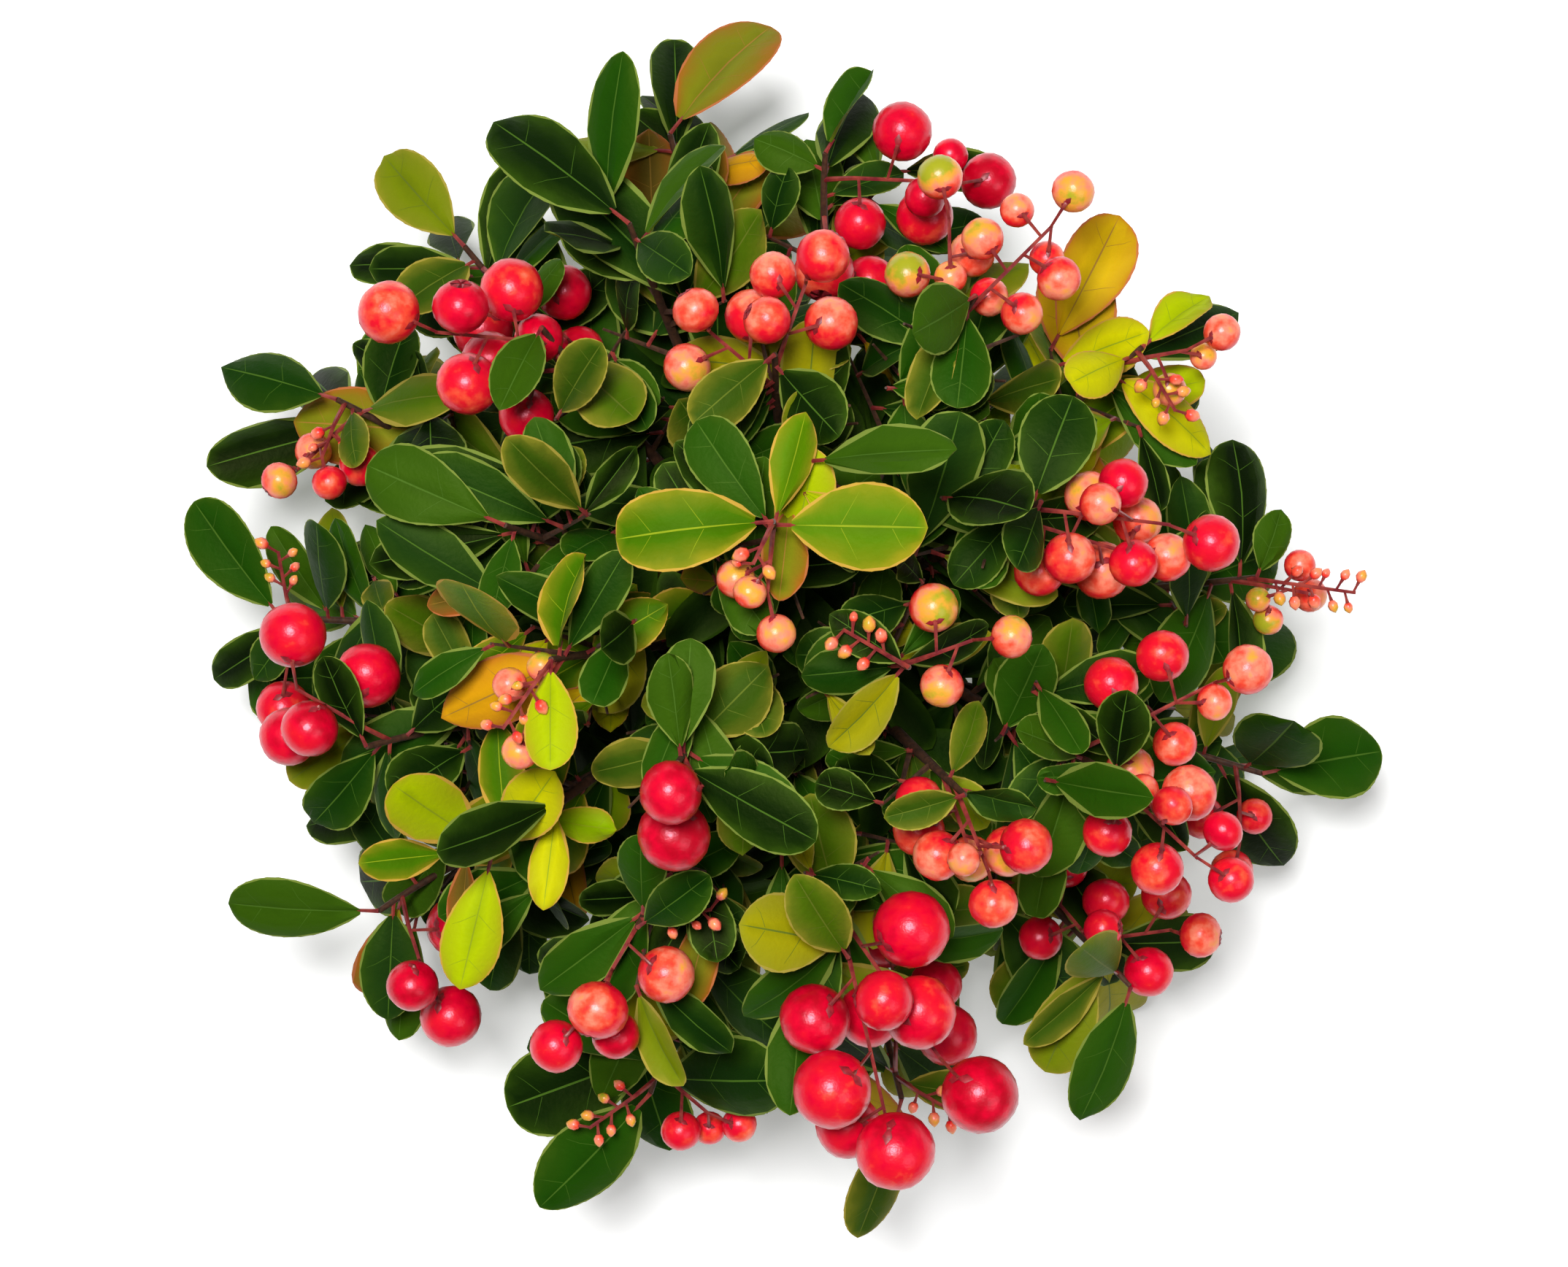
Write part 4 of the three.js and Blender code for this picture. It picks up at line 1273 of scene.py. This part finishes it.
# The painted glare makes a berry paler toward the light and redder away from it: painted highlight and
# painted shade.
BERRY_SPANS = {"hang": (0.5, 1.5), "squat": (0.9, 1), "painted_glare": (-0.7, -0.25), "foot": (-0.25, 0.05)}
# The ripeness at which the painted highlight and shade fade out
GLARE_RIPENESS = 1.1
BUD_RIPENESS = (0.2, 0.42)

# Twigs and stalks
TWIG_RADII = (0.6, 0.25)
TWIG_BOW = 0.3
LEADER_RADII = (1.1, 0.5)
LEADER_OVERLAP = 0.02
RACEME_RADII = (0.5, 0.32)
BUD_STALK_RADII = [0.24, 0.24, 0.36]
BERRY_STALK_RADII = [0.28, 0.3, 0.36, 0.5]
BERRY_STALK_PLACE = 0.98
BERRY_STALK_END = 0.35


def deal_tint(shoot, leaf, turned, pick):
    """A leaf's group and its tint: its spray's own, now and then one that has turned, or a dark tint as
    painted shade under the crown.
    """
    known = KNOWN_TINTS.get(shoot.name, [])
    if not leaf["fine"] and leaf["order"] < len(known):
        return known[leaf["order"]]
    # Painted shade: the shade leaves on the boughs take the darkest tints
    if leaf["order"] >= INNER_ORDER:
        return "dark", PAINTED_SHADE_TINTS[int(pick * len(PAINTED_SHADE_TINTS))]
    # Painted shade: most fine leaves of a lighter spray take a dark tint
    if leaf["fine"] and shoot.tint != "dark":
        if pick < FINE_PAINTED_SHADE:
            return "dark", int(pick / FINE_PAINTED_SHADE * len(BLADE_TINTS["dark"]))
        pick = (pick - FINE_PAINTED_SHADE) / (1 - FINE_PAINTED_SHADE)
    group = shoot.tint
    for other, share in TURNED[shoot.tint]:
        turned -= share
        if turned < 0:
            group = other
            break
    return group, int(pick * len(BLADE_TINTS[group]))


piles = {tint: Pile() for tint in BLADE_TINTS}
stalks, twigs, berries, buds, marks, bark = (Pile() for _ in range(6))


def dress_leaf(shoot, leaf, draw):
    """Gives a leaf its own cut, fold, curl and tint."""
    leaf["length"] *= BLADE_GROWTH
    leaf["width"] *= BLADE_GROWTH * within(CUT_SPANS["width"], draw()) * (FINE_WIDTH if leaf["fine"] else 1)
    leaf["taper"] = within(CUT_SPANS["taper"], draw())
    leaf["blunt"] = within(CUT_SPANS["blunt"], draw())
    look = {
        "fold": within(CUT_SPANS["fold"], draw() ** 2),
        "curl": within(CUT_SPANS["curl"], draw()),
        "wave": within(CUT_SPANS["wave"], draw() ** 2),
        "phase": FULL_TURN * draw(),
    }
    group, pick = deal_tint(shoot, leaf, draw(), draw())
    points, faces, slots, shades = leaf_mesh(leaf, look)
    count = len(BLADE_TINTS[group])
    # Painted shade: a shade leaf under the crown keeps its dark blade tint over the rib, veins and rim, with
    # no pale rim or rib.
    plain = leaf["order"] >= INNER_ORDER
    slots = [pick if slot == BLADE or plain and slot != UNDER else count + slot - 1 for slot in slots]
    piles[group].add(points, faces, slots, shades)
    stalks.add(*petiole(leaf))


def dress_limbs(shoot):
    for foot, end in shoot.twigs:
        middle = mix(foot, end, 0.5) - UP * TWIG_BOW
        twigs.add(*tube(rounded((foot, middle, end), 5), np.linspace(*TWIG_RADII, 6)))
    leader = [shoot.curve.at(mix(shoot.split - LEADER_OVERLAP, 1, i / 12)) for i in range(13)]
    twigs.add(*tube(leader, np.linspace(*LEADER_RADII, 13), 8))
    for foot, bend, end in shoot.racemes:
        stalks.add(*tube(raceme_run(foot, bend, end), np.linspace(*RACEME_RADII, 7)))


def dress_bud(bud, draw):
    buds.add(*bud_mesh(bud, within(BUD_RIPENESS, draw())))
    base = bud["centre"] - bud["way"] * bud["radius"]
    stalks.add(*tube([bud["root"], mix(bud["root"], base, 0.6), base], BUD_STALK_RADII, 5))


def dress_berry(shoot, berry, draw):
    look = {
        "axis": unit(berry["way"] - UP * within(BERRY_SPANS["hang"], draw())),
        "turn": 360 * draw(),
        "squat": within(BERRY_SPANS["squat"], draw()),
        # The way toward the light for the painted highlight, mostly upward
        "glare_way": unit(UP + 0.5 * heading(360 * draw())),
        "painted_glare": within(BERRY_SPANS["painted_glare"], draw()),
        "foot": within(BERRY_SPANS["foot"], draw()),
        "ripe": shoot.ripe + shoot.spread * mix(-1, 1, draw()),
    }
    look["painted_glare"] *= max(GLARE_RIPENESS - look["ripe"], 0)
    berries.add(*berry_mesh(berry, look))
    base = berry["centre"] - look["axis"] * berry["radius"] * look["squat"] * BERRY_STALK_PLACE
    middle = mix(berry["root"], base, 0.5) - look["axis"] * TWIG_BOW
    run = [berry["root"], middle, base - look["axis"] * BERRY_STALK_END, base]
    stalks.add(*tube(run, BERRY_STALK_RADII))
    marks.add(*star_mesh(berry, look))
    marks.add(*sepal_mesh(berry, look))


for shoot in plant.shoots:
    draw = stream(shoot.index + DRESS_SEED)
    for leaf in shoot.leaves:
        dress_leaf(shoot, leaf, draw)
    dress_limbs(shoot)
    for bud in shoot.buds:
        dress_bud(bud, draw)
    for berry in shoot.fruit:
        dress_berry(shoot, berry, draw)

under = leaf_material("leaf underside", UNDER_CODE, UNDER_ROUGHNESS)
for tint, pile in piles.items():
    edge = EDGE_CODES[tint]
    tints = [
        leaf_material(f"{tint} leaf {i}", code, BLADE_ROUGHNESS, edge)
        for i, code in enumerate(BLADE_TINTS[tint], 1)
    ]
    rib = leaf_material(f"{tint} leaf rib", RIB_CODES[tint], RIB_ROUGHNESS)
    rim = leaf_material(f"{tint} leaf rim", RIM_CODES[tint], RIB_ROUGHNESS)
    nodes = [f"spray_{s.name}" for s in plant.shoots if s.tint == tint]
    pile.piece(f"leaves_{tint}", [*tints, rib, rim, under], f"leaf_{tint}", nodes, shaded=True)

twig_skin = fibre_material("twig skin", "341E12", "50301E", 900, 0.6, 0.00012)
stalk_skin = fibre_material("stalk skin", "6A1820", "963A30", 500, 0.42, 0.00005)
mark_skin = fibre_material("sepal skin", "74101C", "9E1E2A", 900, 0.45, 0.00005)
mouth_skin = fibre_material("berry mouth", "780C18", "981824", 900, 0.6, 0.00005)
bark_skin = fibre_material("bark", "33231A", "66493A", 260, 0.85, 0.0004)
berry_skin = berry_material()
twigs.piece("twigs", [twig_skin], "twig")
stalks.piece("stalks", [stalk_skin], "twig")
berries.piece("berries", [berry_skin, mouth_skin], "berry", shaded=True)
buds.piece("buds", [berry_skin], "berry", shaded=True)
marks.piece("berry_marks", [mark_skin], "berry")


# Bark over the stem and boughs

STEM_SIDES = 60
STEM_ROWS = 40
STEM_PROFILE = [
    (0, FLARE_RADIUS),
    (0.3 * FLARE_HEIGHT, mix(FLARE_RADIUS, STEM_RADIUS, 0.55)),
    (FLARE_HEIGHT, STEM_RADIUS),
    (0.7 * STEM_HEIGHT, 0.96 * STEM_RADIUS),
    (0.94 * STEM_HEIGHT, 0.7 * STEM_RADIUS),
    (STEM_HEIGHT, 0.01),
]
CAP_ROWS = 6
CAP_SPAN = (0.62, 0.0004)
RIDGES = 12
RIDGE_DEPTH = 0.45
RIDGE_TWIST = (0.05, 0.3)
RIDGE_SHARE = (0.1, 0.28)
STEM_INSET = 0.25
BOUGH_ROWS = 30
BOUGH_SIDES = 12
BOUGH_TWIST = (0.2, 0.5)
BOUGH_EXTRA = (0.25, -0.05)


def stem_mesh():
    """The stem with its lobed flare, ridges that wind up it and a rounded top."""
    heights = np.linspace(0, STEM_HEIGHT, STEM_ROWS)
    radii = np.interp(heights, *zip(*STEM_PROFILE))
    radii[-CAP_ROWS:] = STEM_RADIUS * np.sqrt(np.linspace(*CAP_SPAN, CAP_ROWS))
    turns = turns_of(STEM_SIDES)
    draw = stream(STEM_SEED)
    waves = [
        (int(5 + 14 * draw()), FULL_TURN * draw(), within(RIDGE_TWIST, draw()), within(RIDGE_SHARE, draw()))
        for _ in range(RIDGES)
    ]
    points = []
    for height, radius in zip(heights, radii):
        swell = 1 + LOBE_DEPTH * math.exp(-height / FLARE_HEIGHT) * np.cos(FLARE_LOBES * turns)
        ridges = sum(depth * np.sin(n * turns + phase + twist * height) for n, phase, twist, depth in waves)
        across = radius * swell + RIDGE_DEPTH * ridges * min(radius / STEM_RADIUS, 1) - STEM_INSET
        lean = (height / STEM_HEIGHT) ** 2
        centre = np.array([lean * STEM_LEAN[0], lean * STEM_LEAN[1], height])
        points.append(ring_at(centre, heading(0), heading(90), turns, across))
    return np.concatenate(points), closed_tube(STEM_ROWS, STEM_SIDES)


def bough_mesh(shoot):
    draw = stream(shoot.index + BARK_SEED)
    phase, twist = FULL_TURN * draw(), within(BOUGH_TWIST, draw())
    run = [shoot.curve.at(shoot.split * i / BOUGH_ROWS) for i in range(BOUGH_ROWS + 1)]

    def relief(i, turns):
        return 0.09 * np.sin(4 * turns + phase + twist * i) + 0.06 * math.sin(1.9 * i + phase)

    radii = np.linspace(BOUGH_FOOT_RADIUS + BOUGH_EXTRA[0], BOUGH_TIP_RADIUS + BOUGH_EXTRA[1], BOUGH_ROWS + 1)
    return tube(run, radii, BOUGH_SIDES, relief)


bark.add(*stem_mesh())
for shoot in plant.shoots:
    bark.add(*bough_mesh(shoot))
bark.piece("bark", [bark_skin], "bark", ["stem", *[f"bough_{s.name}" for s in plant.shoots]])

# Floor, light and camera

FLOOR_HALF = 3
CROWN_MIDDLE = np.array([0, 0, 0.06])

corners = [(-1, -1), (1, -1), (1, 1), (-1, 1)]
floor_mesh = bpy.data.meshes.new("floor")
floor_mesh.from_pydata([(x * FLOOR_HALF, y * FLOOR_HALF, 0) for x, y in corners], [], [[0, 1, 2, 3]])
floor_skin = Skin(
    "floor", Base_Color=(0.9, 0.9, 0.9, 1), Roughness=0.9,
    Emission_Color=(1, 1, 1, 1), Emission_Strength=0.26,
)
floor_mesh.materials.append(floor_skin.material)
floor = stand("floor", floor_mesh)

world = bpy.data.worlds.new("studio")
bpy.context.scene.world = world
world.use_nodes = True
set_sockets(world.node_tree.nodes["Background"], {"Color": (1, 1, 1, 1), "Strength": 0.085})
bpy.context.scene.view_settings.view_transform = "Standard"

for name, place, size, power in (("key", (-0.16, 0.24, 1.3), 0.4, 22), ("fill", (0.7, -0.4, 1.0), 0.6, 3)):
    light = bpy.data.lights.new(name, "AREA")
    light.energy = power
    light.size = size
    made = stand(name, light)
    made.location = place
    made.rotation_mode = "QUATERNION"
    made.rotation_quaternion = Vector(place - CROWN_MIDDLE).to_track_quat("Z", "Y")

camera_data = bpy.data.cameras.new("camera")
camera_data.sensor_width = 36
camera_data.lens = 98.6
camera_data.clip_start = 0.01
camera = stand("camera", camera_data)
camera.location = (0, -0.0011, 0.8)
bpy.context.scene.camera = camera
